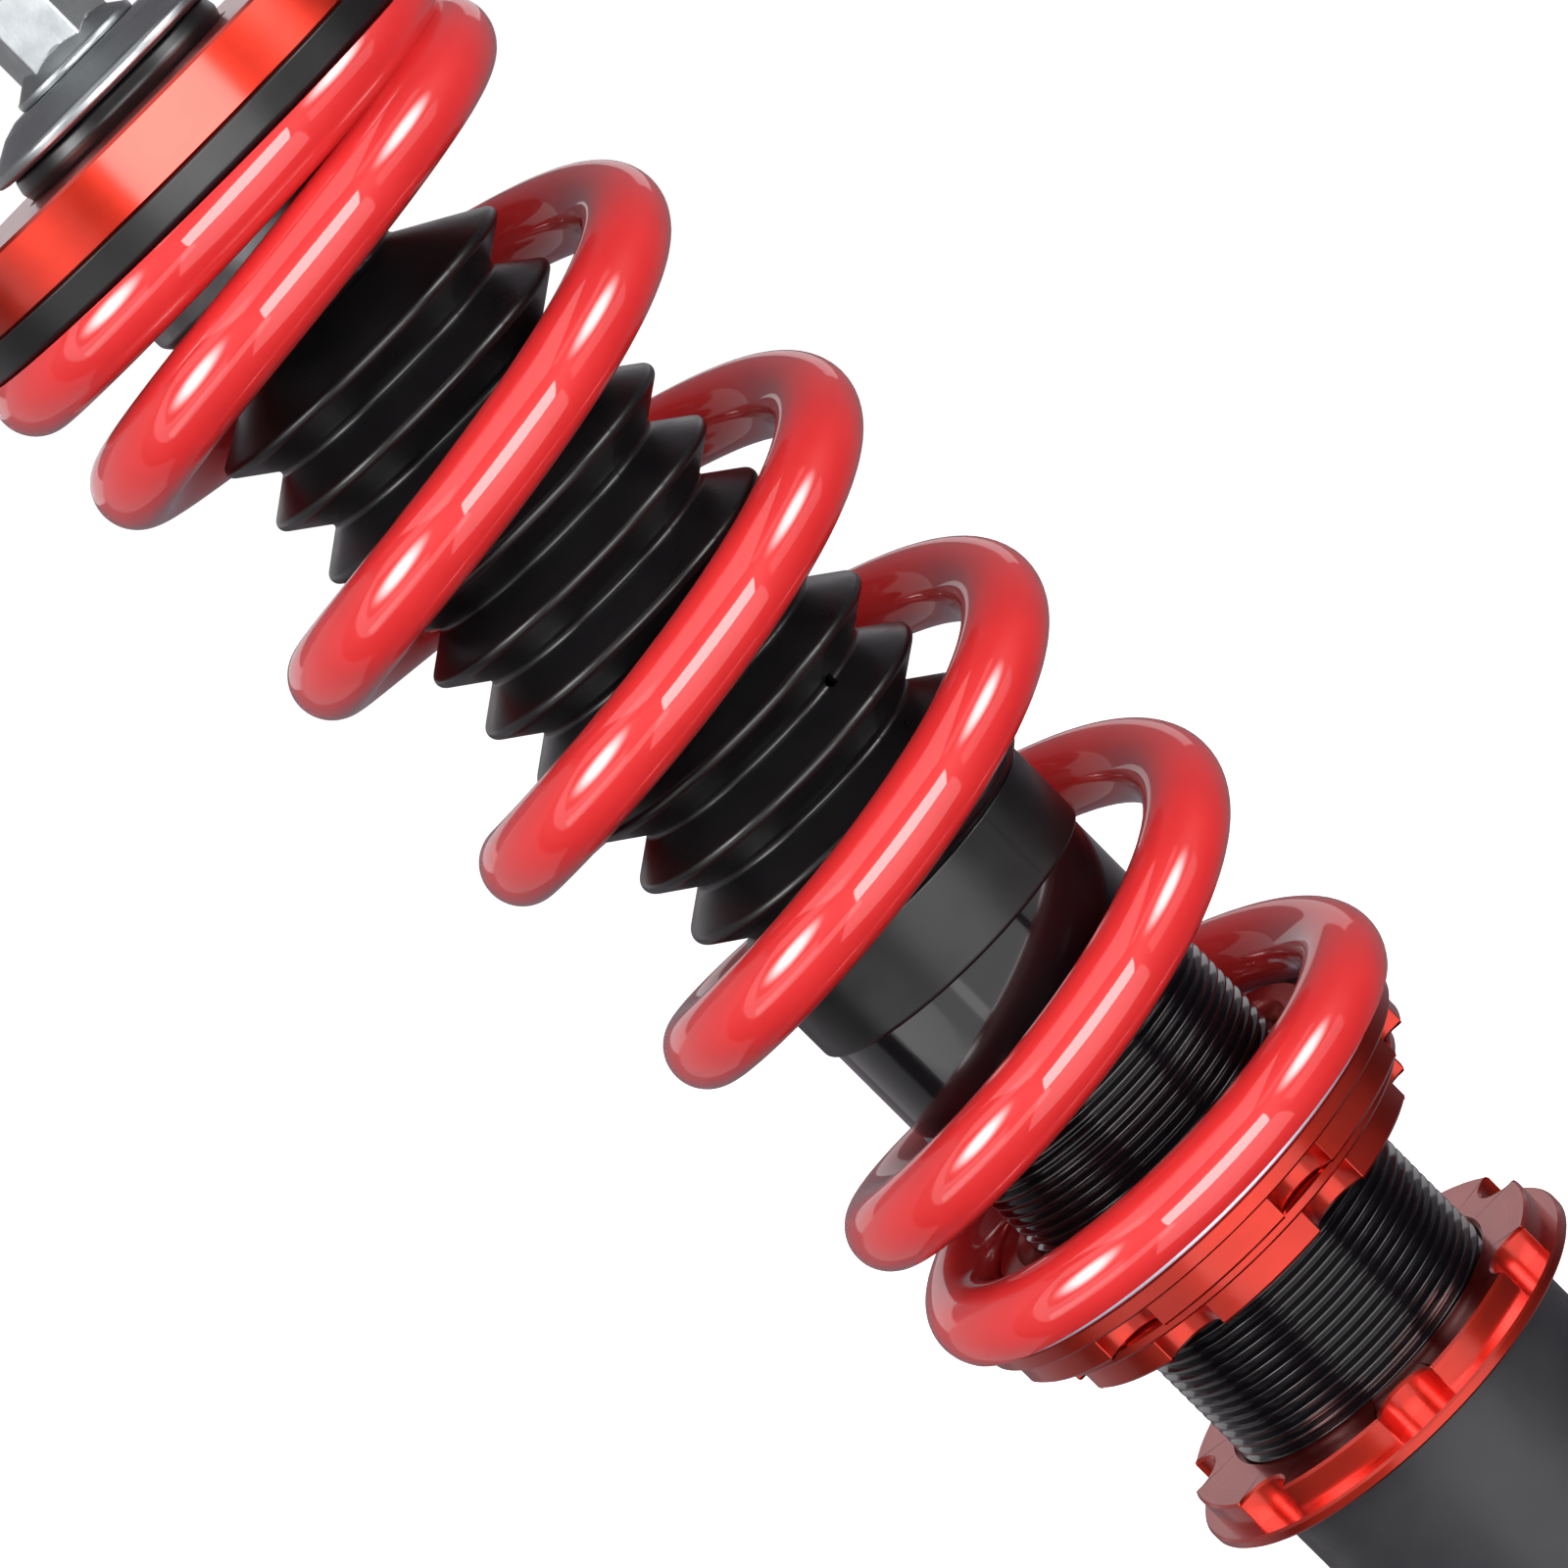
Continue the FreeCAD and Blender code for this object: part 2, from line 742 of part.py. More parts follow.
def make_flange_nut():
    """A flanged hexagon nut: the washer face and cone are one with the hexagon."""
    flange = cylinder("nut_flange", "nut_flange_r", "nut_flange_height", "nut_foot_z")
    cone = doc.addObject("Part::Cone", "nut_cone")
    bind(
        cone,
        Radius1="nut_flange_r",
        Radius2="nut_flats / 2",
        Height="nut_cone_height",
        Placement__Base__z="nut_foot_z + nut_flange_height",
    )
    hexagonal = hexagon("nut_hexagon", "nut_flats", "nut_top_z - nut_foot_z", "nut_foot_z")
    bind(hexagonal, Placement__Rotation__Angle="nut_turn")
    hole = cylinder("nut_hole", "stud_r + stud_fit", "nut_top_z - nut_foot_z", "nut_foot_z")
    node(cut("nut", fuse("nut_solid", [flange, cone, hexagonal]), hole), "flange_nut")


# ---------------------------------------------------------------- coil spring


def helix(pitch, turns, start_angle, foot):
    """One stretch of the wire's centre line, rising from a height and an angle about Z."""
    wire = Part.makeHelix(pitch, pitch * turns, value("spring_mean_r"))
    wire.rotate(FreeCAD.Vector(0, 0, 0), FreeCAD.Vector(0, 0, 1), start_angle)
    wire.translate(FreeCAD.Vector(0, 0, foot))
    return wire.Edges


def make_spring():
    """Round wire on three joined helices, ground flat at both ends."""
    angle = value("spring_start_angle")
    height = value("spring_wire_foot_z")
    edges = []
    for part in ("spring_foot_", "spring_", "spring_head_"):
        pitch = value(part + "pitch")
        turns = value(part + "turns")
        edges += helix(pitch, turns, angle, height)
        angle += 360 * turns
        height += pitch * turns
    path = Part.Wire(edges)
    start = edges[0].valueAt(edges[0].FirstParameter)
    tangent = edges[0].tangentAt(edges[0].FirstParameter)
    section = Part.Wire([Part.makeCircle(value("wire_r"), start, tangent)])
    coil = path.makePipeShell([section], True, True)
    height = value("spring_top_z - spring_foot_z")
    reach = value("spring_mean_r + 2 * wire_r")
    between = Part.makeCylinder(reach, height, FreeCAD.Vector(0, 0, value("spring_foot_z")))
    thing = doc.addObject("Part::Feature", "spring")
    thing.Shape = coil.common(between)
    node(thing, "coil_spring")


# ---------------------------------------------------------------- screwed rings


def notch(floor_radius):
    """Returns a drawing of a spanner notch: a milled U, open outwards, towards -Y."""

    def draw(sketch):
        radius = value("notch_r")
        centre_y = -value("%s + notch_r" % floor_radius)
        mouth_y = -value("perch_r + notch_r")
        across = FreeCAD.Vector(radius, 0, 0)
        centre = FreeCAD.Vector(0, centre_y, 0)
        mouth = FreeCAD.Vector(0, mouth_y, 0)
        floor = centre + FreeCAD.Vector(0, radius, 0)
        sketch.addGeometry(Part.Arc(centre + across, floor, centre - across))
        sketch.addGeometry(Part.LineSegment(centre - across, mouth - across))
        sketch.addGeometry(Part.LineSegment(mouth - across, mouth + across))
        sketch.addGeometry(Part.LineSegment(mouth + across, centre + across))
        ends = [(0, 2, 1, 1), (1, 2, 2, 1), (2, 2, 3, 1), (3, 2, 0, 1)]
        for first, first_end, second, second_end in ends:
            sketch.addConstraint(
                Sketcher.Constraint("Coincident", first, first_end, second, second_end)
            )
        sketch.addConstraint(Sketcher.Constraint("Vertical", 1))
        sketch.addConstraint(Sketcher.Constraint("Vertical", 3))
        sketch.addConstraint(Sketcher.Constraint("Horizontal", 2))
        sketch.addConstraint(Sketcher.Constraint("PointOnObject", 0, 3, -2))
        sketch.addConstraint(Sketcher.Constraint("Horizontal", 0, 1, 0, 3))
        sketch.addConstraint(Sketcher.Constraint("Horizontal", 0, 2, 0, 3))
        for kind, geometry, end, expression in (
            ("DistanceY", 0, 3, "%s + notch_r" % floor_radius),
            ("DistanceY", 1, 2, "perch_r + notch_r"),
        ):
            index = sketch.addConstraint(
                Sketcher.Constraint(kind, geometry, end, -1, 1, value(expression))
            )
            sketch.setExpression("Constraints[%d]" % index, bound(expression))
        index = sketch.addConstraint(Sketcher.Constraint("Radius", 0, radius))
        sketch.setExpression("Constraints[%d]" % index, bound("notch_r"))

    return draw


def turn_body(body, angle):
    """Turns a finished ring about Z."""
    body.setExpression("Placement.Rotation.Angle", bound(angle))


def make_perch():
    """The spring perch and the thin slip washer that the spring stands on."""
    perch = turned(
        "spring_perch",
        [
            ("ring_bore_r", "perch_foot_z"),
            ("perch_band_r - edge_chamfer", "perch_foot_z"),
            ("perch_band_r", "perch_foot_z + edge_chamfer"),
            ("perch_band_r", "perch_band_top_z"),
            ("perch_r - edge_chamfer / 2", "perch_band_top_z"),
            ("perch_r", "perch_band_top_z + edge_chamfer / 2"),
            ("perch_r", "perch_top_z - edge_chamfer"),
            ("perch_r - edge_chamfer", "perch_top_z"),
            ("perch_pilot_r", "perch_top_z"),
            ("perch_pilot_r", "perch_pilot_top_z - edge_chamfer"),
            ("perch_pilot_r - edge_chamfer", "perch_pilot_top_z"),
            ("perch_pilot_bore_r", "perch_pilot_top_z"),
            ("ring_bore_r", "perch_top_z"),
        ],
    )
    cut_around(
        perch,
        "perch_notch",
        notch("perch_notch_floor_r"),
        "(perch_foot_z + perch_band_top_z) / 2",
        "perch_band_top_z - perch_foot_z",
        "notch_count",
    )
    turn_body(perch, "perch_turn")
    turned_ring(
        "perch_slip_washer",
        "slip_washer_bore_r",
        "slip_washer_r",
        "slip_washer_foot_z",
        "spring_foot_z",
    )


def make_lock_ring(label, foot, flange_on_top, angle):
    """A notched lock ring with a thin flange on one side; two of them are used, one inverted."""

    def level(height):
        """A height from the ring's notched face, up or down to the flange."""
        if flange_on_top:
            return "%s + %s" % (foot, height)
        return "%s + lock_height - (%s)" % (foot, height)

    step = "lock_height - lock_flange_height"
    ring = turned(
        label,
        [
            ("ring_bore_r + edge_chamfer", level("0")),
            ("lock_band_r - edge_chamfer", level("0")),
            ("lock_band_r", level("edge_chamfer")),
            ("lock_band_r", level(step)),
            ("lock_r - edge_chamfer / 2", level(step)),
            ("lock_r", level("%s + edge_chamfer / 2" % step)),
            ("lock_r", level("lock_height - edge_chamfer")),
            ("lock_r - edge_chamfer", level("lock_height")),
            ("ring_bore_r + edge_chamfer", level("lock_height")),
            ("ring_bore_r", level("lock_height - edge_chamfer")),
            ("ring_bore_r", level("edge_chamfer")),
        ],
    )
    cut_around(
        ring,
        label + "_notch",
        notch("lock_notch_floor_r"),
        level("(%s) / 2" % step),
        step,
        "notch_count",
    )
    turn_body(ring, angle)


# ---------------------------------------------------------------- the whole document


def make_all():
    make_bracket()
    make_damper_tube()
    make_gland()
    make_dust_boot()
    make_gas_piston()
    make_rod()
    make_piston()
    make_shims("compression_shims", "piston_top_z", 1)
    make_shims("rebound_shims", "piston_foot_z", -1)
    make_piston_nut()
    turned_ring(
        "rebound_stop",
        "rod_r + rod_gap",
        "rebound_stop_r",
        "rebound_stop_foot_z",
        "rebound_stop_top_z",
    )
    make_bump_stop()
    make_lower_mount()
    make_upper_seat()
    make_top_hardware()
    make_flange_nut()
    make_perch()
    make_lock_ring("perch_lock_ring", "perch_lock_foot_z", True, "perch_lock_turn")
    make_lock_ring("bracket_lock_ring", "bracket_lock_foot_z", False, "bracket_lock_turn")
    make_spring()


def write_all():
    """Checks every object, then writes each sub-part's solid to its own file."""
    doc.recompute()
    for thing in doc.Objects:
        if "Invalid" in thing.State or "Error" in thing.State:
            raise RuntimeError("%s failed: %s" % (thing.Label, thing.State))
    for thing in NODES:
        shape = thing.Shape
        if shape.isNull() or not shape.isValid() or not shape.Solids:
            raise RuntimeError("%s has no valid solid" % thing.Label)
    os.makedirs("parts", exist_ok=True)
    for thing in NODES:
        box = thing.Shape.BoundBox
        thing.Shape.exportStep(os.path.join("parts", thing.Label + ".step"))
        print(
            "%-22s solids %d  volume %9.0f  z %7.2f to %7.2f"
            % (thing.Label, len(thing.Shape.Solids), thing.Shape.Volume, box.ZMin, box.ZMax)
        )


fill_sheet()
make_all()
write_all()
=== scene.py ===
import json
import math

import bmesh
import bpy
import numpy as np
from mathutils import Matrix, Vector


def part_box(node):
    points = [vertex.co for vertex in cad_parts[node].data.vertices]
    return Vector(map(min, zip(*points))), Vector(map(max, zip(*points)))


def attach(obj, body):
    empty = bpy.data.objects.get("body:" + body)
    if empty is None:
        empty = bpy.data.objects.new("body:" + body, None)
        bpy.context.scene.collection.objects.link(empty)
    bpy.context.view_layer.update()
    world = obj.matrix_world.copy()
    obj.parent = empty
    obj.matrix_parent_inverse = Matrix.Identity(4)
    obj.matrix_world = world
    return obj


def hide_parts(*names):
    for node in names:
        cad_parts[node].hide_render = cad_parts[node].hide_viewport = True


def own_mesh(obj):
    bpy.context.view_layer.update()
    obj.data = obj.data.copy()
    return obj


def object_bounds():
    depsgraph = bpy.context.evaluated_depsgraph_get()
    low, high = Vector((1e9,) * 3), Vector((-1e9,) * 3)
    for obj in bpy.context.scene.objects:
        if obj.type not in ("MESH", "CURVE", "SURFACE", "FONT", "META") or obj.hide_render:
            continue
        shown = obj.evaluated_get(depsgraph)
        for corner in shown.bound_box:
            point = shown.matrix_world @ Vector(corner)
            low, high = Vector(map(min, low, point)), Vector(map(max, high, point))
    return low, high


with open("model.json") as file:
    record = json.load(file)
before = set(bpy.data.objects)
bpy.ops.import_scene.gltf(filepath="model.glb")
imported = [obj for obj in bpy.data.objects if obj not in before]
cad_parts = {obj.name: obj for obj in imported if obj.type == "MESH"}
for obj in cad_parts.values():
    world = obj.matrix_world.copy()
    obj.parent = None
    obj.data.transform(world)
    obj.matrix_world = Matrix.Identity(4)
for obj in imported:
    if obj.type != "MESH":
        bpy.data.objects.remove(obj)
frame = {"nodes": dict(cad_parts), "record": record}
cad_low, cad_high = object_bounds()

# The looks of a height-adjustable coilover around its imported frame. The damper stands along
# +Z with the lower eye's bore along Y at the origin. Lengths are millimetres, turned into
# metres where a mesh or the camera is made. Bump depths and the studio's distances are metres.

MM = 0.001
TAU = 2 * math.pi
AROUND = 240  # sides of a turned piece
SHARP = math.radians(32)  # edges that turn more than this are shaded sharp


# ---------------------------------------------------------------- places, from the frame


def span(node):
    """Foot height, top height and outer radius about Z of a CAD node, in millimetres."""
    low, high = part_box(node)
    return low.z / MM, high.z / MM, max(high.x, high.y, -low.x, -low.y) / MM


# ---------------------------------------------------------------- materials


def new_material(name, **inputs):
    """A Principled material; the inputs are its sockets' plain values."""
    material = bpy.data.materials.new(name)
    material.use_nodes = True
    shader = material.node_tree.nodes["Principled BSDF"]
    for socket, number in inputs.items():
        shader.inputs[socket.replace("_", " ")].default_value = number
    return material


def add_node(material, kind, **settings):
    made = material.node_tree.nodes.new("ShaderNode" + kind)
    for name, setting in settings.items():
        if name in made.bl_rna.properties:
            setattr(made, name, setting)
        else:
            made.inputs[name.replace("_", " ")].default_value = setting
    return made


def join(material, source, target):
    material.node_tree.links.new(source, target)


def shader_input(material, name):
    return material.node_tree.nodes["Principled BSDF"].inputs[name]


def place(material):
    """The point on the surface, in metres in the frame's axes."""
    return add_node(material, "TexCoord").outputs["Object"]


def noise(material, scale, detail=3.0, vector=None):
    """A noise of about 0 to 1, its scale in features per metre."""
    made = add_node(material, "TexNoise", Scale=scale, Detail=detail, Roughness=0.55)
    join(material, vector or place(material), made.inputs["Vector"])
    return made.outputs["Fac"]


def turning(material, axis="Z"):
    """Distance from the turning axis and place along it, so that a noise of them makes rings."""
    split = add_node(material, "SeparateXYZ")
    join(material, place(material), split.inputs[0])
    across = [name for name in "XYZ" if name != axis]
    flat = add_node(material, "CombineXYZ")
    for slot, name in enumerate(across):
        join(material, split.outputs[name], flat.inputs[slot])
    radius = add_node(material, "VectorMath", operation="LENGTH")
    join(material, flat.outputs[0], radius.inputs[0])
    rings = add_node(material, "CombineXYZ")
    join(material, radius.outputs["Value"], rings.inputs[0])
    join(material, split.outputs[axis], rings.inputs[1])
    return rings.outputs[0]


def spread(material, source, low, high, start=0.3, end=0.7):
    """A noise stretched to run from low to high."""
    made = add_node(material, "MapRange")
    limits = {"From Min": start, "From Max": end, "To Min": low, "To Max": high}
    for name, number in limits.items():
        made.inputs[name].default_value = number
    join(material, source, made.inputs["Value"])
    return made.outputs["Result"]


def bump(material, layers, socket="Normal"):
    """Stacks height layers, each a (source, depth in metres), into one of the shader's normals."""
    below = None
    for source, depth in layers:
        made = add_node(material, "Bump", Strength=1.0, Distance=depth)
        join(material, source, made.inputs["Height"])
        if below is not None:
            join(material, below, made.inputs["Normal"])
        below = made.outputs["Normal"]
    join(material, below, shader_input(material, socket))


def tint(material, source, dark, light):
    """Runs the base colour from dark to light with a 0 to 1 source."""
    ramp = add_node(material, "ValToRGB")
    ramp.color_ramp.elements[0].color = (*dark, 1)
    ramp.color_ramp.elements[1].color = (*light, 1)
    ramp.color_ramp.elements[0].position = 0.3
    ramp.color_ramp.elements[1].position = 0.7
    join(material, source, ramp.inputs[0])
    join(material, ramp.outputs[0], shader_input(material, "Base Color"))


def red_gloss_paint():
    """Thick gloss paint on the spring, with a slight orange peel under a clear top."""
    made = new_material(
        "red_gloss_paint",
        Roughness=0.5,
        IOR=1.4,
        Coat_Weight=1.0,
        Coat_Roughness=0.03,
        Coat_IOR=1.72,
    )
    tint(made, noise(made, 60.0), (0.58, 0.016, 0.017), (0.64, 0.020, 0.021))
    bump(made, [(noise(made, 420.0, 2.0), 0.000008)])
    bump(made, [(noise(made, 300.0, 1.0), 0.000004)], "Coat Normal")
    return made


def red_anodised():
    """Turned aluminium, dyed red: fine tool rings under a hard clear film."""
    made = new_material(
        "red_anodised",
        Metallic=1.0,
        Coat_Weight=0.8,
        Coat_Roughness=0.16,
        Coat_IOR=1.55,
    )
    rings = turning(made)
    tint(made, noise(made, 90.0), (0.56, 0.027, 0.012), (0.64, 0.034, 0.015))
    fine = noise(made, 5200.0, 1.0, rings)
    join(made, spread(made, fine, 0.30, 0.38), shader_input(made, "Roughness"))
    bump(made, [(fine, 0.0000012)])
    return made


def tube_coat():
    """Gloss black coating on the damper tube and its thread."""
    made = new_material(
        "tube_coat", IOR=1.5, Coat_Weight=0.6, Coat_Roughness=0.04, Roughness=0.12
    )
    tint(made, noise(made, 45.0), (0.0025, 0.002, 0.003), (0.0045, 0.004, 0.005))
    bump(made, [(noise(made, 700.0, 2.0), 0.000003)])
    return made


def bracket_coat():
    """Satin gunmetal powder coat, faintly pebbled."""
    made = new_material("bracket_coat", Metallic=0.0, IOR=1.5, Specular_IOR_Level=0.5)
    tint(made, noise(made, 35.0), (0.018, 0.018, 0.021), (0.028, 0.028, 0.032))
    join(made, spread(made, noise(made, 260.0), 0.34, 0.46), shader_input(made, "Roughness"))
    bump(made, [(noise(made, 1500.0, 2.0), 0.00001)])
    return made


def rubber():
    """Moulded black rubber with a soft sheen and a little bloom."""
    made = new_material("rubber", IOR=1.5, Specular_IOR_Level=0.5)
    tint(made, noise(made, 55.0, 4.0), (0.0028, 0.0024, 0.0030), (0.0050, 0.0045, 0.0052))
    join(made, spread(made, noise(made, 140.0, 4.0), 0.27, 0.38), shader_input(made, "Roughness"))
    bump(made, [(noise(made, 1100.0, 3.0), 0.000008)])
    return made


def zinc_steel():
    """Bright zinc plate over pressed steel: soft clouding and a cool tint."""
    made = new_material("zinc_steel", Metallic=1.0)
    cloud = noise(made, 130.0, 5.0)
    tint(made, cloud, (0.27, 0.29, 0.30), (0.40, 0.42, 0.43))
    join(made, spread(made, cloud, 0.44, 0.32), shader_input(made, "Roughness"))
    bump(made, [(noise(made, 650.0, 3.0), 0.00003), (noise(made, 2600.0, 2.0), 0.000003)])
    return made


def machined_steel():
    """Turned steel with visible tool rings."""
    made = new_material("machined_steel", Metallic=1.0)
    rings = turning(made)
    tint(made, noise(made, 110.0), (0.50, 0.50, 0.53), (0.64, 0.64, 0.68))
    fine = noise(made, 3000.0, 2.0, rings)
    join(made, spread(made, fine, 0.20, 0.34), shader_input(made, "Roughness"))
    bump(made, [(fine, 0.000006)])
    return made


def washer_plating_and_painted_reflection():
    """The slip washer's pale plating, tinted lilac as a painted reflection of the white
    surroundings seen on a grazing face.
    """
    made = new_material("slip_washer_plating_and_painted_reflection", Metallic=0.7, Roughness=0.34)
    # Painted reflection: the lilac tint stands in for the white surroundings reflected at a
    # grazing angle
    tint(made, noise(made, 90.0), (0.74, 0.68, 0.82), (0.86, 0.80, 0.94))
    bump(made, [(noise(made, 2400.0, 2.0, turning(made)), 0.000005)])
    return made


def bare_aluminium():
    """Turned aluminium, left plain."""
    made = new_material("bare_aluminium", Metallic=1.0)
    tint(made, noise(made, 80.0), (0.66, 0.66, 0.68), (0.78, 0.78, 0.80))
    fine = noise(made, 2600.0, 2.0, turning(made))
    join(made, spread(made, fine, 0.24, 0.38), shader_input(made, "Roughness"))
    bump(made, [(fine, 0.000006)])
    return made


def low_friction_plastic():
    """Dull brown bearing plastic."""
    made = new_material("low_friction_plastic", IOR=1.35)
    tint(made, noise(made, 200.0), (0.09, 0.075, 0.06), (0.14, 0.12, 0.095))
    join(made, spread(made, noise(made, 300.0), 0.45, 0.6), shader_input(made, "Roughness"))
    return made


def chromed_rod():
    """Ground and chromed steel, nearly a mirror."""
    made = new_material("chromed_rod", Metallic=1.0)
    tint(made, noise(made, 60.0), (0.72, 0.73, 0.75), (0.80, 0.81, 0.83))
    fine = noise(made, 4200.0, 1.0, turning(made))
    join(made, spread(made, fine, 0.06, 0.12), shader_input(made, "Roughness"))
    return made


def bump_foam():
    """Yellowish microcellular foam, matt and pitted."""
    made = new_material("bump_foam", Roughness=0.9, Specular_IOR_Level=0.25)
    tint(made, noise(made, 70.0), (0.60, 0.44, 0.18), (0.74, 0.58, 0.30))
    cells = add_node(made, "TexVoronoi", Scale=1300.0)
    join(made, place(made), cells.inputs["Vector"])
    bump(made, [(cells.outputs["Distance"], 0.00015), (noise(made, 500.0), 0.0001)])
    return made


MATERIALS = {
    "red_gloss_paint": red_gloss_paint(),
    "red_anodised": red_anodised(),
    "tube_coat": tube_coat(),
    "bracket_coat": bracket_coat(),
    "rubber": rubber(),
    "zinc_steel": zinc_steel(),
    "machined_steel": machined_steel(),
    "bare_aluminium": bare_aluminium(),
    "low_friction_plastic": low_friction_plastic(),
    "chromed_rod": chromed_rod(),
    "bump_foam": bump_foam(),
}
WASHER_PLATING_AND_PAINTED_REFLECTION = washer_plating_and_painted_reflection()


# ---------------------------------------------------------------- meshes


def ring(radius, height, count=AROUND):
    """Points round Z; the radius is one number or one for each point."""
    angle = np.arange(count) * TAU / count
    radius = np.broadcast_to(radius, count)
    return np.stack([radius * np.cos(angle), radius * np.sin(angle), np.full(count, height)], 1)


def grid_faces(rows, count, wrap, shift=0):
    """Quads between rows of points that go all the way round. wrap joins the last row to the
    first, and shift is how many rows higher a row meets itself after a full turn."""
    faces = []
    for row in range(rows if wrap else rows - 1):
        above = (row + 1) % rows
        for k in range(count - 1):
            here, there = row * count + k, above * count + k
            faces.append((here, here + 1, there + 1, there))
        if row + shift + 1 < rows or wrap:
            last, first = row * count + count - 1, (row + shift) % rows * count
            up_last = above * count + count - 1
            up_first = (above + shift) % rows * count
            faces.append((last, first, up_first, up_last))
    return faces


def solid(name, points, faces):
    """A mesh object from points in millimetres, cleaned and smooth but for its sharp edges."""
    mesh = bpy.data.meshes.new(name)
    mesh.from_pydata((np.asarray(points) * MM).tolist(), [], faces)
    work = bmesh.new()
    work.from_mesh(mesh)
    bmesh.ops.remove_doubles(work, verts=work.verts, dist=2e-6)
    bmesh.ops.dissolve_degenerate(work, edges=work.edges, dist=1e-6)
    bmesh.ops.recalc_face_normals(work, faces=work.faces)
    work.to_mesh(mesh)
    work.free()
    mesh.shade_smooth()
    mesh.set_sharp_from_angle(angle=SHARP)
    made = bpy.data.objects.new(name, mesh)
    bpy.context.scene.collection.objects.link(made)
    return made


def skin(name, loops, wrap=True):
    """A solid through loops of equally many points, one after another."""
    return solid(name, np.concatenate(loops), grid_faces(len(loops), len(loops[0]), wrap))


def corner_points(before, corner, after, size):
    """A chamfer for a negative size, or an arc of that radius for a positive one."""
    back = (np.array(before) - corner) / np.linalg.norm(np.array(before) - corner)
    on = (np.array(after) - corner) / np.linalg.norm(np.array(after) - corner)
    between = math.acos(max(-1.0, min(1.0, float(back @ on))))
    if size < 0:
        return [corner - back * size, corner - on * size]
    reach = size / math.tan(between / 2)
    start, end = corner + back * reach, corner + on * reach
    centre = corner + (back + on) / np.linalg.norm(back + on) * size / math.sin(between / 2)
    turn = math.pi - between
    steps = max(3, math.ceil(turn / math.radians(14)))
    points = []
    for step in range(steps + 1):
        share = step / steps
        swing = math.sin((1 - share) * turn) * (start - centre) + math.sin(share * turn) * (
            end - centre
        )
        points.append(centre + swing / math.sin(turn))
    return points


EASE = 0.25  # how far from a rounded corner a flat begins to be exactly flat


def rounded(outline, closed=True):
    """Points of an outline of (radius, height) or (radius, height, corner size) entries."""
    corners = [np.array(entry[:2], float) for entry in outline]
    sizes = [entry[2] if len(entry) > 2 else 0 for entry in outline]
    points = []
    for index, (corner, size) in enumerate(zip(corners, sizes)):
        inner = closed or 0 < index < len(corners) - 1
        if size and inner:
            before, after = corners[index - 1], corners[(index + 1) % len(corners)]
            arc = corner_points(before, corner, after, size)
        else:
            arc = [corner]
        if points and np.linalg.norm(arc[0] - points[-1]) > 4 * EASE:
            step = (arc[0] - points[-1]) / np.linalg.norm(arc[0] - points[-1]) * EASE
            points += [points[-1] + step, arc[0] - step]
        points += arc
    return points


def lathe(name, outline, count=AROUND):
    """A solid turned about Z from a closed outline."""
    return skin(name, [ring(point[0], point[1], count) for point in rounded(outline)])


def lay_along_y(thing):
    """Turns a finished piece from the Z axis to the Y axis."""
    thing.data.transform(Matrix.Rotation(math.pi / 2, 4, "X"))
    return thing


def fit(piece, body, slot, replaces=(), material=None):
    """Rides a piece on its body and gives it the material of its slot."""
    piece.data.materials.clear()
    piece.data.materials.append(material or MATERIALS[slot])
    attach(piece, body)
    if replaces:
        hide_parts(*replaces)
    return piece


# ---------------------------------------------------------------- lower bracket


def make_bracket_tube():
    foot, top, outer = span("bracket_tube")
    wall = 2.95
    bore = outer - wall
    outline = [
        (bore, foot),
        (outer, foot),
        (outer, top, 0.9),
        (bore, top, 0.5),
    ]
    fit(lathe("bracket_tube_shell", outline), "bracket", "bracket_coat", ["bracket_tube"])


def make_weld():
    """The rippled weld bead between the bracket tube and its lug."""
    foot, _, outer = span("bracket_tube")
    half_wide, half_tall, sunk = 1.5, 1.75, 0.55
    ripple_height, waves = 0.35, 27  # each wave makes two ripples
    count, sides = AROUND * 2, 12
    angle = np.arange(count) * TAU / count
    ripple = np.abs(np.sin(angle * waves)) ** 0.6
    loops = []
    for side in range(sides):
        turn = side / sides * TAU
        swell = half_wide + ripple_height * ripple * max(0.0, math.cos(turn))
        radius = outer - sunk + swell * math.cos(turn)
        height = foot + half_tall * math.sin(turn)
        loops.append(ring(radius, height, count))
    fit(skin("bracket_weld", loops), "bracket", "bracket_coat")


def make_eye_lug():
    """The forged lug: the CAD solid with its edges softened as a forging's are."""
    source = frame["nodes"]["eye_lug"]
    mesh = source.data.copy()
    mesh.name = "eye_lug_forged"
    piece = bpy.data.objects.new("eye_lug_forged", mesh)
    bpy.context.scene.collection.objects.link(piece)
    remesh = piece.modifiers.new("remesh", "REMESH")
    remesh.mode = "VOXEL"
    remesh.voxel_size = 0.0009  # metres
    smooth = piece.modifiers.new("smooth", "SMOOTH")
    smooth.factor = 0.5
    smooth.iterations = 12
    depsgraph = bpy.context.evaluated_depsgraph_get()
    finished = bpy.data.meshes.new_from_object(piece.evaluated_get(depsgraph))
    piece.modifiers.clear()
    piece.data = finished
    finished.name = "eye_lug_forged"
    finished.shade_smooth()
    fit(piece, "bracket", "bracket_coat", ["eye_lug"])


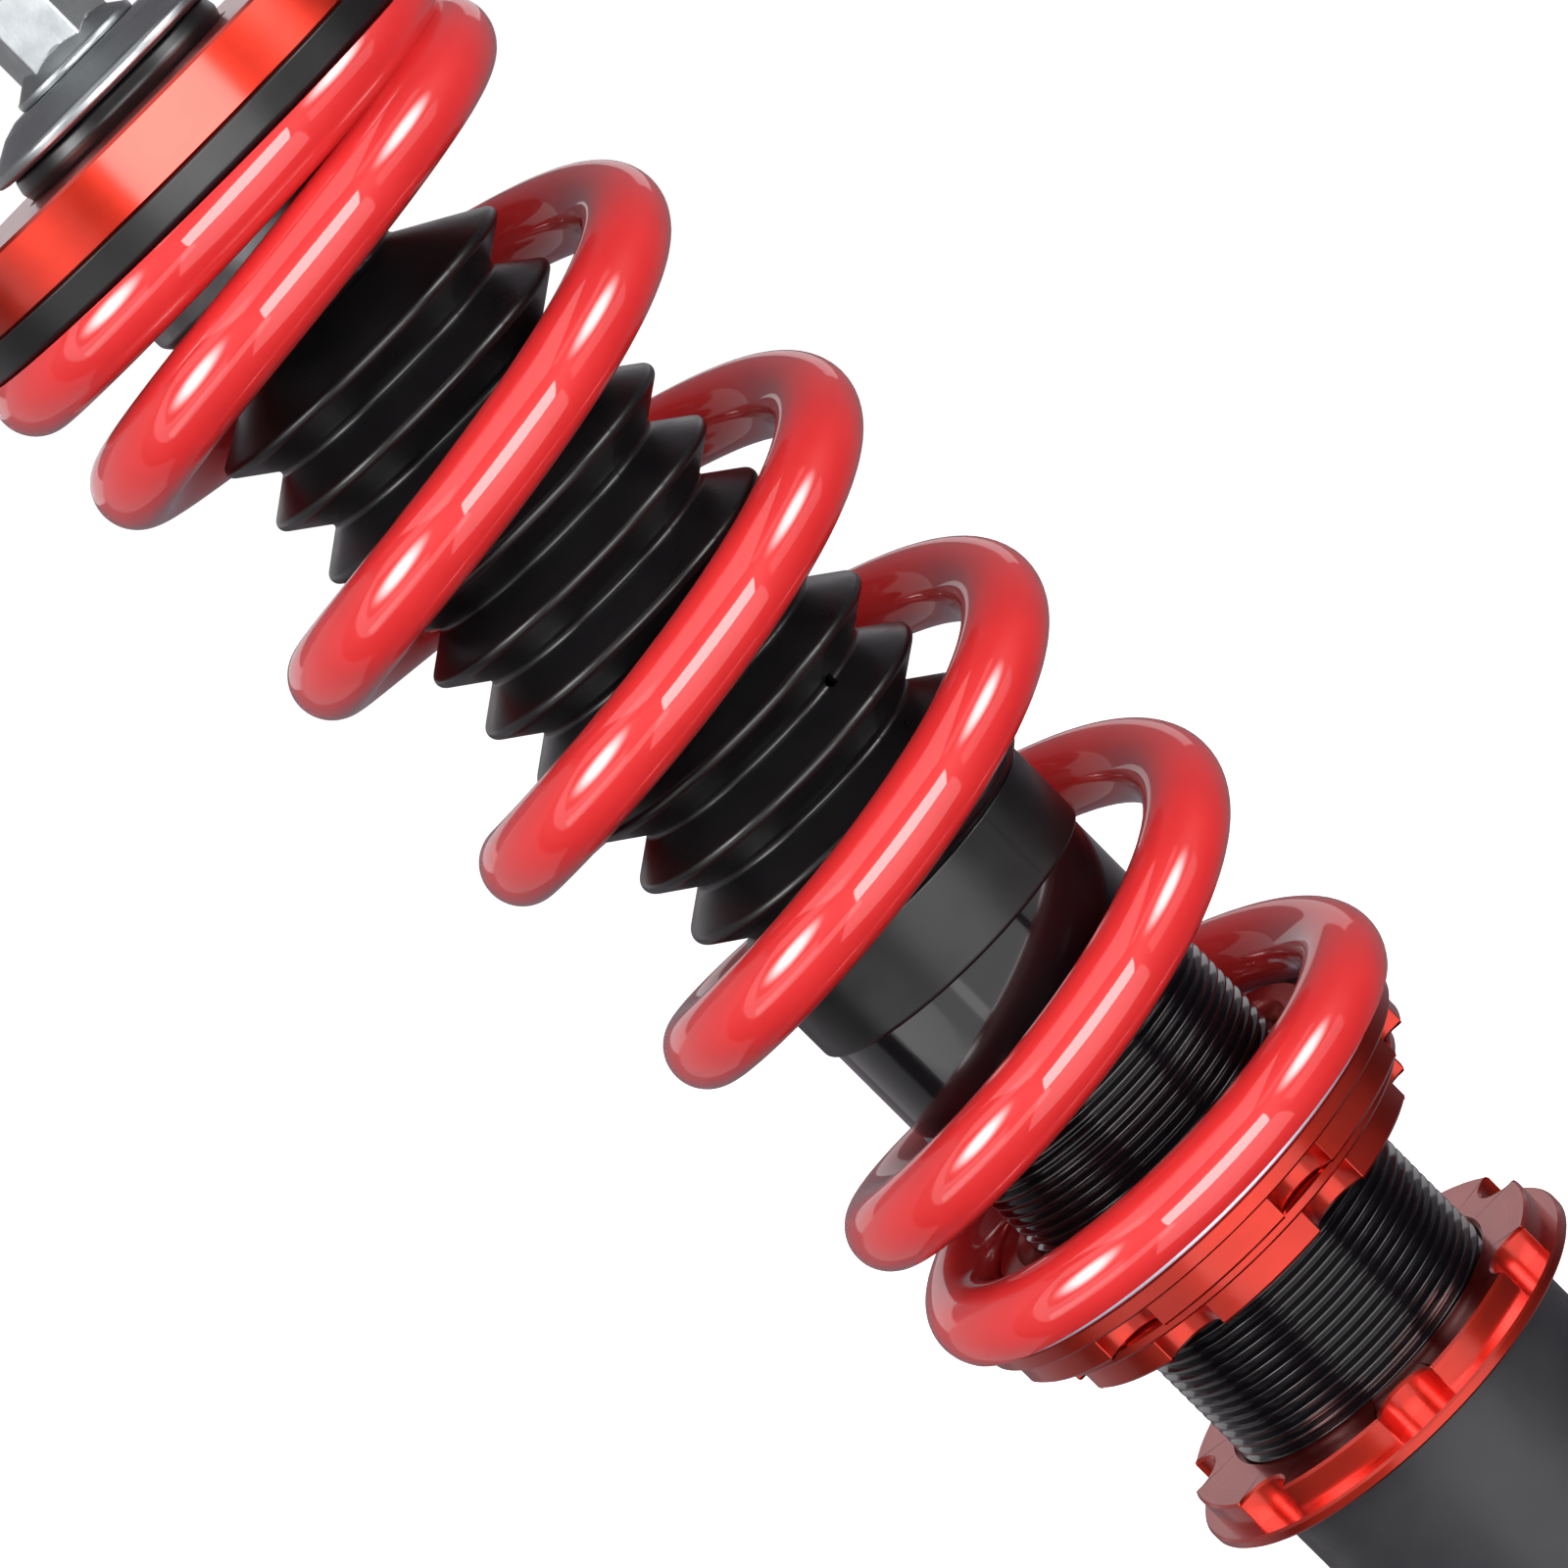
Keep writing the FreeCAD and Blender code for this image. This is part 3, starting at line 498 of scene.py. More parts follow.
def make_eye_bush():
    """Bonded rubber with rolled lips round a turned steel sleeve."""
    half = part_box("eye_bush")[1].y / MM
    sleeve_r, lug_bore = 8.25, 15.0
    lip_inner, lip_outer, skin_r = sleeve_r + 2.6, lug_bore - 2.2, lug_bore - 0.05
    outline = [
        (sleeve_r, -half + 1.2, 0.3),
        (lip_inner, -half, 1.0),
        (lip_outer, -half + 0.6, 1.4),
        (skin_r, -half + 3.2, 0.8),
        (skin_r, half - 3.2, 0.8),
        (lip_outer, half - 0.6, 1.4),
        (lip_inner, half, 1.0),
        (sleeve_r, half - 1.2, 0.3),
    ]
    bush = lay_along_y(lathe("eye_bush_rubber", outline))
    fit(bush, "bracket", "rubber", ["eye_bush"])
    _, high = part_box("eye_sleeve")
    outer, end = high.x / MM, high.y / MM
    bolt_r = 6.1
    outline = [
        (bolt_r, -end, -0.5),
        (outer, -end, -0.4),
        (outer, end, -0.4),
        (bolt_r, end, -0.5),
    ]
    tube = lay_along_y(lathe("eye_sleeve_tube", outline))
    fit(tube, "eye_sleeve", "zinc_steel", ["eye_sleeve"])


# ---------------------------------------------------------------- damper tube and its thread


THREAD_PROFILE = (  # how far along the pitch, and how much of the depth is cut away there
    (0.0, 0.085),
    (0.02, 0.03),
    (0.05, 0.004),
    (0.08, 0.0),
    (0.18, 0.0),
    (0.21, 0.004),
    (0.24, 0.03),
    (0.26, 0.085),
    (0.56, 0.93),
    (0.59, 0.99),
    (0.67, 0.99),
    (0.70, 0.93),
)


def thread_rows(crest, depth, pitch, foot, top, count, run_out=1.0):
    """Rows of points for a helical 60 degree thread between two heights, and how many rows a
    turn climbs. The crest is flat with eased edges, the root a little narrower, and the thread
    fades into the plain crest radius over run_out turns at each end."""
    turns = math.ceil((top - foot) / pitch) + 2
    share = np.arange(count) / count
    angle = share * TAU
    rows = []
    for turn in range(-2, turns):
        for along, sunk in THREAD_PROFILE:
            height = foot + pitch * (turn + along + share)
            depth_here = np.full(count, depth * sunk)
            for edge in ((height - foot) / pitch, (top - height) / pitch):
                depth_here *= np.clip(edge / run_out, 0, 1)
            height = np.clip(height, foot, top)
            radius = crest - depth_here
            rows.append(np.stack([radius * np.cos(angle), radius * np.sin(angle), height], 1))
    return rows, len(THREAD_PROFILE)


def threaded_sleeve(name, rows, climb, count, bore):
    """Closes thread rows with a plain bore into one solid."""
    foot, top = rows[0][0][2], rows[-1][0][2]
    faces = grid_faces(len(rows), count, False, climb)
    start = len(rows)
    points = np.concatenate(rows + [ring(bore, foot, count), ring(bore, top, count)])
    for low, high in ((start, 0), (start + 1, start), (start - 1, start + 1)):
        for k in range(count):
            after = (k + 1) % count
            faces.append(
                (low * count + k, low * count + after, high * count + after, high * count + k)
            )
    return solid(name, points, faces)


THREAD_PITCH = 2.0
THREAD_DEPTH = 1.15
THREAD_FOOT_Z = 100.0  # nothing lower can be uncovered by the bracket tube
THREAD_TOP_Z = 227.2


def make_damper_tube():
    """The barrel with its thread: a core turned down, and the threaded sleeve round it."""
    foot, top, smooth = span("damper_tube")
    bore = 23.0
    crest = smooth - 0.3  # the thread stands a little under the plain upper end
    core = crest - THREAD_DEPTH - 0.4
    overlap = 0.2
    outline = [
        (bore, foot, 0.3),
        (crest, foot, 0.9),
        (crest, THREAD_FOOT_Z),
        (core, THREAD_FOOT_Z),
        (core, THREAD_TOP_Z),
        (crest, THREAD_TOP_Z),
        (smooth, THREAD_TOP_Z + 0.5, 0.3),
        (smooth, top, 0.6),
        (bore, top, 0.3),
    ]
    fit(lathe("damper_tube_barrel", outline), "damper", "tube_coat", ["damper_tube"])
    count = 192
    rows, climb = thread_rows(
        crest, THREAD_DEPTH, THREAD_PITCH, THREAD_FOOT_Z, THREAD_TOP_Z, count
    )
    sleeve = threaded_sleeve("damper_tube_thread", rows, climb, count, core - overlap)
    fit(sleeve, "damper", "tube_coat")


# ---------------------------------------------------------------- dust boot


BOOT_PITCH = 12.1
BOOT_LIPS = 11
BOOT_FIRST_LIP_Z = 265.2
BOOT_VALLEY_R = 24.0
BOOT_WALL = 1.5
BOOT_SKIRT_R = 29.0
BOOT_SEAM_Z = 263.0
PARTING_ANGLE = math.radians(-90 + 34.5)  # the mould's parting line, and its twin behind
BREATHER_ANGLE = math.radians(-90 + 38)


def parting_ridge(count=AROUND, height=0.14, width=0.012):
    """How far the mould's two parting lines stand out at each point round the boot."""
    angle = np.arange(count) * TAU / count
    away = np.abs((angle - PARTING_ANGLE + math.pi / 2) % math.pi - math.pi / 2)
    return height * np.clip(1 - away / width, 0, 1)


def make_boot_skirt():
    """The plain cuff that grips the damper tube."""
    foot = span("dust_boot")[0]
    play, tuck, overlap = 0.12, 0.5, 1.2
    inner = span("damper_tube")[2] + play
    top = BOOT_SEAM_Z + overlap
    outline = [
        (inner, foot, 0.3),
        (BOOT_SKIRT_R, foot, 0.7),
        (BOOT_SKIRT_R, BOOT_SEAM_Z - 0.4, 0.3),
        (BOOT_SKIRT_R - tuck, BOOT_SEAM_Z, 0.2),
        (BOOT_SKIRT_R - tuck, top),
        (inner, top),
    ]
    ridge = parting_ridge()
    loops = []
    for radius, height in rounded(outline):
        outside = radius > BOOT_SKIRT_R - 0.05
        loops.append(ring(radius + ridge * outside, height))
    fit(skin("dust_boot_skirt", loops), "damper", "rubber")


def bellows_outline(lip_radius, valley_radius, lip_round, valley_round):
    """Lips and valleys from the lowest lip to the highest."""
    outline = []
    for lip in range(BOOT_LIPS):
        height = BOOT_FIRST_LIP_Z + lip * BOOT_PITCH
        outline.append((lip_radius, height, lip_round))
        if lip < BOOT_LIPS - 1:
            outline.append((valley_radius, height + BOOT_PITCH / 2, valley_round))
    return outline


def make_boot_bellows():
    """The eleven lips and the neck round the rod. The outline's sharp corners lie past the
    rounded lips and valleys that they make."""
    _, top, lip_r = span("dust_boot")
    neck_r, neck_z, neck_bore = 15.8, 395.2, 14.2
    skirt = BOOT_SKIRT_R - 0.05
    outside = bellows_outline(lip_r + 0.55, BOOT_VALLEY_R - 0.5, 1.3, 0.9)
    inside = bellows_outline(lip_r - BOOT_WALL, BOOT_VALLEY_R - BOOT_WALL, 0.7, 0.9)
    outline = [(skirt - 1.3, BOOT_SEAM_Z), (skirt, BOOT_SEAM_Z)]
    outline += outside
    outline += [(neck_r, neck_z, 1.2), (neck_r, top, 0.5), (neck_bore, top, 0.3)]
    outline += [(neck_bore, neck_z - 1.0, 0.8)]
    outline += inside[::-1]
    points = rounded(outline)
    outer_count = max(k for k, point in enumerate(points) if point[0] > neck_r - 0.01) + 1
    ridge = parting_ridge()
    loops = []
    for index, (radius, height) in enumerate(points):
        loops.append(ring(radius + ridge * (1 < index < outer_count), height))
    piece = skin("dust_boot_bellows", loops)
    drill_breather(piece)
    fit(piece, "damper", "rubber", ["dust_boot"])
    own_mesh(piece)


def drill_breather(piece):
    """The small breather hole in a valley of the bellows."""
    valley = 2.5  # lips above the lowest one
    height = BOOT_FIRST_LIP_Z + valley * BOOT_PITCH
    drill_r = 1.15 * MM
    drill_length = 0.012  # metres
    outward = Vector((math.cos(BREATHER_ANGLE), math.sin(BREATHER_ANGLE), 0))
    mesh = bpy.data.meshes.new("breather_drill")
    work = bmesh.new()
    bmesh.ops.create_cone(
        work, cap_ends=True, segments=40, radius1=drill_r, radius2=drill_r, depth=drill_length
    )
    work.to_mesh(mesh)
    work.free()
    turned = outward.to_track_quat("Z", "Y").to_matrix().to_4x4()
    middle = outward * (BOOT_VALLEY_R * MM) + Vector((0, 0, height * MM))
    mesh.transform(Matrix.Translation(middle) @ turned)
    drill = bpy.data.objects.new("breather_drill", mesh)
    bpy.context.scene.collection.objects.link(drill)
    cutter = piece.modifiers.new("breather", "BOOLEAN")
    cutter.operation = "DIFFERENCE"
    cutter.solver = "EXACT"
    cutter.object = drill
    depsgraph = bpy.context.evaluated_depsgraph_get()
    finished = bpy.data.meshes.new_from_object(piece.evaluated_get(depsgraph))
    piece.modifiers.clear()
    piece.data = finished
    finished.shade_smooth()
    finished.set_sharp_from_angle(angle=SHARP)
    bpy.data.objects.remove(drill)


# ---------------------------------------------------------------- coil spring


# Turns down the wire from its upper tip, and the pitch there in millimetres. The whole is then
# scaled a little to fit between the wire's ends.
WINDING = (
    (0.0, 10.0),
    (0.8, 12.5),
    (1.11, 22.5),
    (1.36, 41.0),
    (1.6, 45.5),
    (2.4, 45.0),
    (4.2, 44.0),
    (4.9, 44.0),
    (5.3, 45.0),
    (5.88, 43.0),
    (6.05, 1.0),
    (6.722, 3.0),
)
# How far the coils lean towards +X, against the share of the way down the spring.
LEAN = ((0.0, 0.5), (0.08, 1.3), (0.5, 1.8), (0.88, 1.4), (1.0, 0.5))
COIL_TILT = 0.012  # fall of a free coil's plane towards +X
TILT_RAMP = 8  # the tilt is full one part in this many from each end


def spring_line(mean_r, top, foot):
    """Centre line of the wire: closed, then open, then closed coils, starting at +X and
    running to -Y, with the free spring's slight bow towards +X."""
    steps_per_turn = 120
    last = WINDING[-1][0]  # turns in all
    turns = np.linspace(0, last, round(last * steps_per_turn) + 1)
    pitches = np.interp(turns, [k[0] for k in WINDING], [k[1] for k in WINDING])
    fallen = np.cumsum(np.concatenate([[0], (pitches[1:] + pitches[:-1]) / 2]))
    share = fallen / fallen[-1]
    lean = np.interp(share, [k[0] for k in LEAN], [k[1] for k in LEAN])
    polar = -TAU * turns
    x = mean_r * np.cos(polar)
    tilt = COIL_TILT * np.clip(np.minimum(share, 1 - share) * TILT_RAMP, 0, 1)
    height = top - share * (top - foot) - tilt * x
    return polar, np.stack([x + lean, mean_r * np.sin(polar), height], 1)


def make_spring():
    """Round wire on a helix with closed ends, ground flat where it stands and bears."""
    foot, top, outer = span("coil_spring")
    wire_r = 7.2
    ground = 3.1  # what is left under the wire's centre at its lower tip
    polar, centres = spring_line(outer - wire_r, top, foot + ground)
    along = np.gradient(centres, axis=0)
    along /= np.linalg.norm(along, axis=1)[:, None]
    out = np.stack([np.cos(polar), np.sin(polar), np.zeros(len(polar))], 1)
    out -= along * np.sum(out * along, axis=1)[:, None]
    out /= np.linalg.norm(out, axis=1)[:, None]
    side = np.cross(along, out)
    sides = 56
    turn = np.arange(sides) * TAU / sides
    rows = [
        centre + wire_r * (np.outer(np.cos(turn), o) + np.outer(np.sin(turn), s))
        for centre, o, s in zip(centres, out, side)
    ]
    faces = grid_faces(len(rows), sides, False)
    faces.append(tuple(range(sides)))
    faces.append(tuple(range((len(rows) - 1) * sides, len(rows) * sides)))
    piece = solid("coil_spring_wire", np.concatenate(rows), faces)
    grind_flat(piece, foot * MM, (0, 0, -1))
    grind_flat(piece, top * MM, (0, 0, 1))
    fit(piece, "spring_foot", "red_gloss_paint", ["coil_spring"])
    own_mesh(piece)


def grind_flat(piece, height, outward):
    """Cuts a piece at a height and closes the cut with a flat face."""
    work = bmesh.new()
    work.from_mesh(piece.data)
    everything = list(work.verts) + list(work.edges) + list(work.faces)
    cut = bmesh.ops.bisect_plane(
        work, geom=everything, plane_co=(0, 0, height), plane_no=outward, clear_outer=True
    )
    edges = [item for item in cut["geom_cut"] if isinstance(item, bmesh.types.BMEdge)]
    bmesh.ops.contextual_create(work, geom=edges)
    bmesh.ops.recalc_face_normals(work, faces=work.faces)
    work.to_mesh(piece.data)
    work.free()
    piece.data.shade_smooth()
    piece.data.set_sharp_from_angle(angle=SHARP)


# ---------------------------------------------------------------- screwed rings


NOTCHES = 7
NOTCH_R = 6.2


def notched_plan(band_r, floor_r, turn, edge_round=0.13):
    """Plan outline of a round band with scooped spanner notches: points, and at each point
    the direction out of the metal. The first notch faces -Y and is turned about Z."""
    centre_r = floor_r + NOTCH_R
    reach = (band_r**2 + centre_r**2 - NOTCH_R**2) / (2 * centre_r)
    mouth = math.acos(reach / band_r)
    scoop = math.atan2(band_r * math.sin(mouth), centre_r - band_r * math.cos(mouth))
    pitch = TAU / NOTCHES
    land_steps, scoop_steps = 27, 21
    points, normals = [], []
    for notch in range(NOTCHES):
        middle = notch * pitch
        start, end = middle + mouth, middle + pitch - mouth
        ease = edge_round / band_r
        for angle in np.linspace(start + ease, end - ease, land_steps):
            points.append((band_r * math.cos(angle), band_r * math.sin(angle)))
            normals.append((math.cos(angle), math.sin(angle)))
        following = middle + pitch
        centre = np.array([centre_r * math.cos(following), centre_r * math.sin(following)])
        ease = edge_round / NOTCH_R
        for swing in np.linspace(-(scoop - ease), scoop - ease, scoop_steps):
            angle = following + math.pi - swing
            out = np.array([math.cos(angle), math.sin(angle)])
            points.append(tuple(centre + NOTCH_R * out))
            normals.append(tuple(-out))
    angle = math.radians(turn) - math.pi / 2
    spin = np.array([[math.cos(angle), math.sin(angle)], [-math.sin(angle), math.cos(angle)]])
    return np.array(points) @ spin, np.array(normals) @ spin


def notched_ring(name, band_r, floor_r, turn, stations):
    """A ring through stations: ("plan", offset into the metal, height) follows the notched
    outline, and ("round", radius, height) is a plain circle."""
    points, normals = notched_plan(band_r, floor_r, turn)
    angle = np.unwrap(np.arctan2(points[:, 1], points[:, 0]))
    angle = np.maximum.accumulate(angle)
    loops = []
    for kind, size, height in stations:
        if kind == "plan":
            flat = points - normals * size
        else:
            flat = np.stack([size * np.cos(angle), size * np.sin(angle)], 1)
        loops.append(np.column_stack([flat, np.full(len(flat), height)]))
    return skin(name, loops)


def band_stations(kind, size, low, high, chamfer):
    """A band of one size between two heights. A round one is chamfered at its foot and its
    top, and a notched one only at its foot, because a flange covers its top."""
    if kind == "plan":
        return [(kind, chamfer, low), (kind, 0, low + chamfer), (kind, 0, high)]
    return [
        (kind, size - chamfer, low),
        (kind, size, low + chamfer),
        (kind, size, high - chamfer),
        (kind, size - chamfer, high),
    ]


RING_BORE_R = 27.65
BORE_CHAMFER = 0.8
BAND_CHAMFER = 0.5


def make_perch():
    """The spring perch: a notched band, a thin flange above it and the spring's pilot."""
    foot, top, outer = span("spring_perch")
    band_r, floor_r = outer - 1.9, 38.4
    step, face = foot + 5.05, foot + 8.2
    pilot, lead_in = 35.4, 0.8
    turn = 15.5
    stations = [("round", RING_BORE_R + BORE_CHAMFER, foot)]
    stations += band_stations("plan", 0, foot, step, BAND_CHAMFER)
    stations += band_stations("round", outer, step, face, 0.4)
    stations += [
        ("round", pilot, face),
        ("round", pilot, top - lead_in),
        ("round", pilot - lead_in, top),
        ("round", pilot - 4.6, top),
        ("round", pilot - 5.2, top - 0.5),
        ("round", RING_BORE_R, face),
        ("round", RING_BORE_R, foot + BORE_CHAMFER),
    ]
    piece = notched_ring("spring_perch_ring", band_r, floor_r, turn, stations)
    fit(piece, "perch", "red_anodised", ["spring_perch"])


def make_slip_washer():
    """The thin plain washer that the spring stands on."""
    foot, top, outer = span("perch_slip_washer")
    inner = 35.7
    outline = [
        (inner, foot, 0.2),
        (outer, foot, 0.3),
        (outer, top, 0.45),
        (inner, top, 0.3),
    ]
    piece = lathe("slip_washer", outline)
    # The washer's lilac tint is a painted reflection of the white surroundings, over its pale
    # plating
    fit(piece, "spring_foot", "machined_steel", ["perch_slip_washer"], WASHER_PLATING_AND_PAINTED_REFLECTION)


def make_lock_ring(node, body, turn, flange_on_top):
    """A lock ring: a notched band with a thin flange on its upper or lower face."""
    foot, top, outer = span(node)
    band_r, floor_r = outer - 2.6, 33.0
    flange = 2.25
    height = top - foot
    step = height - flange
    stations = [("round", RING_BORE_R + BORE_CHAMFER, 0.0)]
    stations += band_stations("plan", 0, 0.0, step, BAND_CHAMFER)
    stations += band_stations("round", outer, step, height, 0.45)
    stations += [
        ("round", RING_BORE_R + BORE_CHAMFER, height),
        ("round", RING_BORE_R, height - BORE_CHAMFER),
        ("round", RING_BORE_R, BORE_CHAMFER),
    ]
    if flange_on_top:
        placed = [(kind, size, foot + level) for kind, size, level in stations]
    else:
        placed = [(kind, size, top - level) for kind, size, level in stations]
    piece = notched_ring(node + "_turned", band_r, floor_r, turn, placed)
    fit(piece, body, "red_anodised", [node])


# ---------------------------------------------------------------- upper mount


def make_upper_seat():
    """The upper spring seat: a thick plate with a shallow recess, and the spring's pilot."""
    foot_pilot, top, outer = span("upper_spring_seat")
    pilot, pilot_bore, bore = 34.4, 30.0, 10.1
    foot = span("spring_isolator")[1]
    recess_r, recess = 22.2, top - 0.4
    outline = [
        (bore, foot),
        (pilot_bore, foot),
        (pilot_bore, foot_pilot, 0.4),
        (pilot, foot_pilot, -0.7),
        (pilot, foot),
        (outer, foot, -0.5),
        (outer, top, -0.6),
        (recess_r, top, 0.2),
        (recess_r, recess),
        (bore, recess, -0.4),
    ]
    piece = lathe("upper_seat_plate", outline, 360)
    fit(piece, "rod", "red_anodised", ["upper_spring_seat"])


def make_isolator():
    """A flat rubber ring pressed under the seat, with softened edges."""
    foot, top, outer = span("spring_isolator")
    inner = 35.8
    outline = [
        (inner, foot, 0.6),
        (outer - 0.4, foot, 1.1),
        (outer + 0.1, top - 0.2, 0.3),
        (outer - 0.2, top),
        (inner, top),
    ]
    fit(lathe("isolator_ring", outline), "rod", "rubber", ["spring_isolator"])


def make_lower_mount():
    """The plated cup under the seat with its rubber bush inside."""
    foot, top, outer = span("bump_cup")
    bore, floor, rod_r, stud_r, shoulder = 18.0, 412.0, 10.05, 6.05, 408.0
    outline = [
        (rod_r, foot, 0.3),
        (outer - 3.5, foot, 0.8),
        (outer, foot + 4.0, 2.0),
        (outer, top - 2.6, 0.5),
        (outer + 0.9, top - 1.9, 0.6),
        (outer + 0.9, top, 0.6),
        (bore, top, 0.5),
        (bore, floor),
        (stud_r, floor),
        (stud_r, shoulder),
        (rod_r, shoulder),
    ]
    fit(lathe("bump_cup_pressed", outline), "rod", "zinc_steel", ["bump_cup"])


def make_upper_bush():
    """A shouldered rubber bush, squeezed to a bulge under the cup washer."""
    foot, top, outer = span("upper_bush")
    sleeve = 10.0
    shoulder = foot + 4.7
    outline = [
        (sleeve, foot, 0.2),
        (outer - 0.7, foot, 0.5),
        (outer, foot + 2.3, 1.6),
        (outer - 0.6, shoulder, 0.9),
        (outer - 4.2, shoulder + 1.0, 1.2),
        (15.0, top, 0.4),
        (sleeve, top),
    ]
    fit(lathe("upper_bush_rubber", outline), "rod", "rubber", ["upper_bush"])


def make_cup_washer():
    """A pressed cup washer: flat crown, dished skirt and a rolled, slightly uneven rim."""
    foot, top, outer = span("upper_cup_washer")
    sheet, flat_r, stud_r = 2.4, 17.0, 6.05
    outline = [
        (stud_r, top - sheet, 0.3),
        (flat_r - 1.0, top - sheet, 1.5),
        (outer - sheet, foot + 0.6, 0.9),
        (outer - 1.6, foot, 0.6),
        (outer, foot + 0.4, 0.7),
        (outer, foot + 2.3, 1.0),
        (outer - 1.5, foot + 2.8, 0.8),
        (flat_r + 0.6, top - 0.9, 1.6),
        (flat_r - 2.4, top, 1.2),
        (stud_r, top, 0.4),
    ]
    points = rounded(outline)
    angle = np.arange(AROUND) * TAU / AROUND
    uneven = 0.06 * np.sin(5 * angle + 0.7) + 0.05 * np.sin(9 * angle + 2.1)  # at the rim
    loops = []
    for radius, height in points:
        share = max(0.0, (radius - flat_r) / (outer - flat_r))
        loops.append(ring(radius + uneven * share, height))
    fit(skin("cup_washer_pressed", loops), "rod", "zinc_steel", ["upper_cup_washer"])


def hexagon_radius(flats, turn, count):
    """Radius of a hexagon at each point round it."""
    angle = np.arange(count) * TAU / count - math.radians(turn)
    inside = (angle + math.pi / 6) % (math.pi / 3) - math.pi / 6
    return flats / 2 / np.cos(inside)


def make_flange_nut():
    """A flanged hexagon nut: chamfered top, cone and a rounded washer face."""
    foot, top, flange_r = span("flange_nut")
    flats, count = 17.0, 432
    nut_turn = -11.4 + 30  # degrees from the frame's +X to the middle of a flat
    blunt_r = flats / 2 / 0.872  # a little less than a sharp corner's radius
    hexagon = np.minimum(hexagon_radius(flats, nut_turn, count), blunt_r)
    bore = 6.05
    rim, cone_top = foot + 1.6, foot + 3.9
    loops = [ring(bore + 0.6, foot, count), ring(flange_r - 0.4, foot, count)]
    loops += [ring(flange_r - 0.1, foot + 0.15, count), ring(flange_r, foot + 0.45, count)]
    loops += [ring(flange_r, rim - 0.5, count), ring(flange_r - 0.15, rim - 0.15, count)]
    for height in np.linspace(rim, cone_top, 14):
        fall = (height - rim) / (cone_top - rim)
        cone = (flange_r - 0.5) + (flats / 2 + 0.15 - flange_r + 0.5) * fall
        loops.append(ring(np.maximum(hexagon, cone), height, count))
    crown = 0.5 * flats * 0.96
    for height in np.linspace(cone_top + 0.3, top, 30):
        chamfer = crown + (top - height) / math.tan(math.radians(30))
        loops.append(ring(np.minimum(hexagon, chamfer), height, count))
    loops += [ring(bore + 0.9, top, count), ring(bore, top - 0.9, count)]
    loops += [ring(bore, foot + 0.6, count)]
    fit(skin("flange_nut_hex", loops), "rod", "zinc_steel", ["flange_nut"])


def make_rod():
    """The chromed rod with its studs: M12 thread under and over the nut, and a turned tip
    with a hexagon socket to hold the rod by."""
    foot, top, rod_r = span("piston_rod")
    shoulder, stud_r, tip_r = 408.0, 6.0, 5.0
    piston_shoulder, tip_z, thread_z = 225.0, 467.0, 449.0
    socket_flats, socket_depth = 5.8, 7.0
    thread_pitch, thread_depth = 1.25, 0.65
    count = 120
    core = stud_r - thread_depth - 0.15
    outline = [
        (0.0, foot),
        (stud_r, foot, -0.5),
        (stud_r, piston_shoulder),
        (rod_r, piston_shoulder, -0.5),
        (rod_r, shoulder, -0.5),
        (stud_r, shoulder),
        (stud_r, thread_z),
        (core, thread_z),
        (core, tip_z - 0.4),
        (tip_r, tip_z - 0.4),
        (tip_r, top, -0.6),
    ]
    loops = [ring(radius, height, count) for radius, height in rounded(outline, False)[:-1]]
    loops += [ring(tip_r, top - 0.6, count), ring(tip_r - 0.6, top, count)]
    socket = hexagon_radius(socket_flats, 0, count)
    loops += [
        ring(socket + 0.35, top, count),
        ring(socket, top - 0.35, count),
        ring(socket, top - socket_depth, count),
        ring(0.0, top - socket_depth - 1.0, count),
    ]
    piece = skin("piston_rod_shaft", loops, wrap=False)
    fit(piece, "rod", "chromed_rod", ["piston_rod"])
    rows, climb = thread_rows(
        stud_r, thread_depth, thread_pitch, thread_z, tip_z, count, run_out=1.5
    )
    sleeve = threaded_sleeve("piston_rod_thread", rows, climb, count, core - 0.2)
    fit(sleeve, "rod", "chromed_rod", material=MATERIALS["zinc_steel"])


def dress_cad_nodes():
    """Gives the CAD nodes that still show their own procedural finish."""
    slots = {entry["node"]: entry["material_slot"] for entry in frame["record"]["subparts"]}
    for name, thing in frame["nodes"].items():
        if thing.hide_render:
            continue
        thing.data.materials.clear()
        thing.data.materials.append(MATERIALS[slots[name]])
        if name == "bump_stop":
            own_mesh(thing)


# ---------------------------------------------------------------- studio


AIM_Z = 250.0
DIM_STUDIO = (0.040, 0.036, 0.041)
PALE_SWEEP = (0.20, 0.18, 0.20)
# The sweep begins and is full where a direction's +Y share reaches these.
SWEEP_START, SWEEP_END = 0.25, 0.75
# Each lamp: its azimuth and elevation, the degrees it fills across and upright, its radiance.
SOFTBOXES = {
    "front_box": (6, 7, 54, 25, 6.8),
    "low_front_box": (6, -29, 64, 42, 1.0),
    "low_left_box": (-50, -12, 62, 14, 1.0),
    "right_box": (64, 14, 44, 60, 0.6),
    "left_box": (-64, 22, 48, 72, 0.7),
    "top_box": (0, 75, 60, 60, 1.0),
    "left_back_box": (-122, 5, 44, 90, 0.22),
    "behind_box": (180, 12, 70, 14, 0.5),
}
SCREENS = {
    "right_screen": (64, 20, 46, 34, 13.0),
    "left_screen": (-60, 26, 40, 40, 14.0),
}
BOX_DISTANCE, SCREEN_DISTANCE = 1.35, 1.3


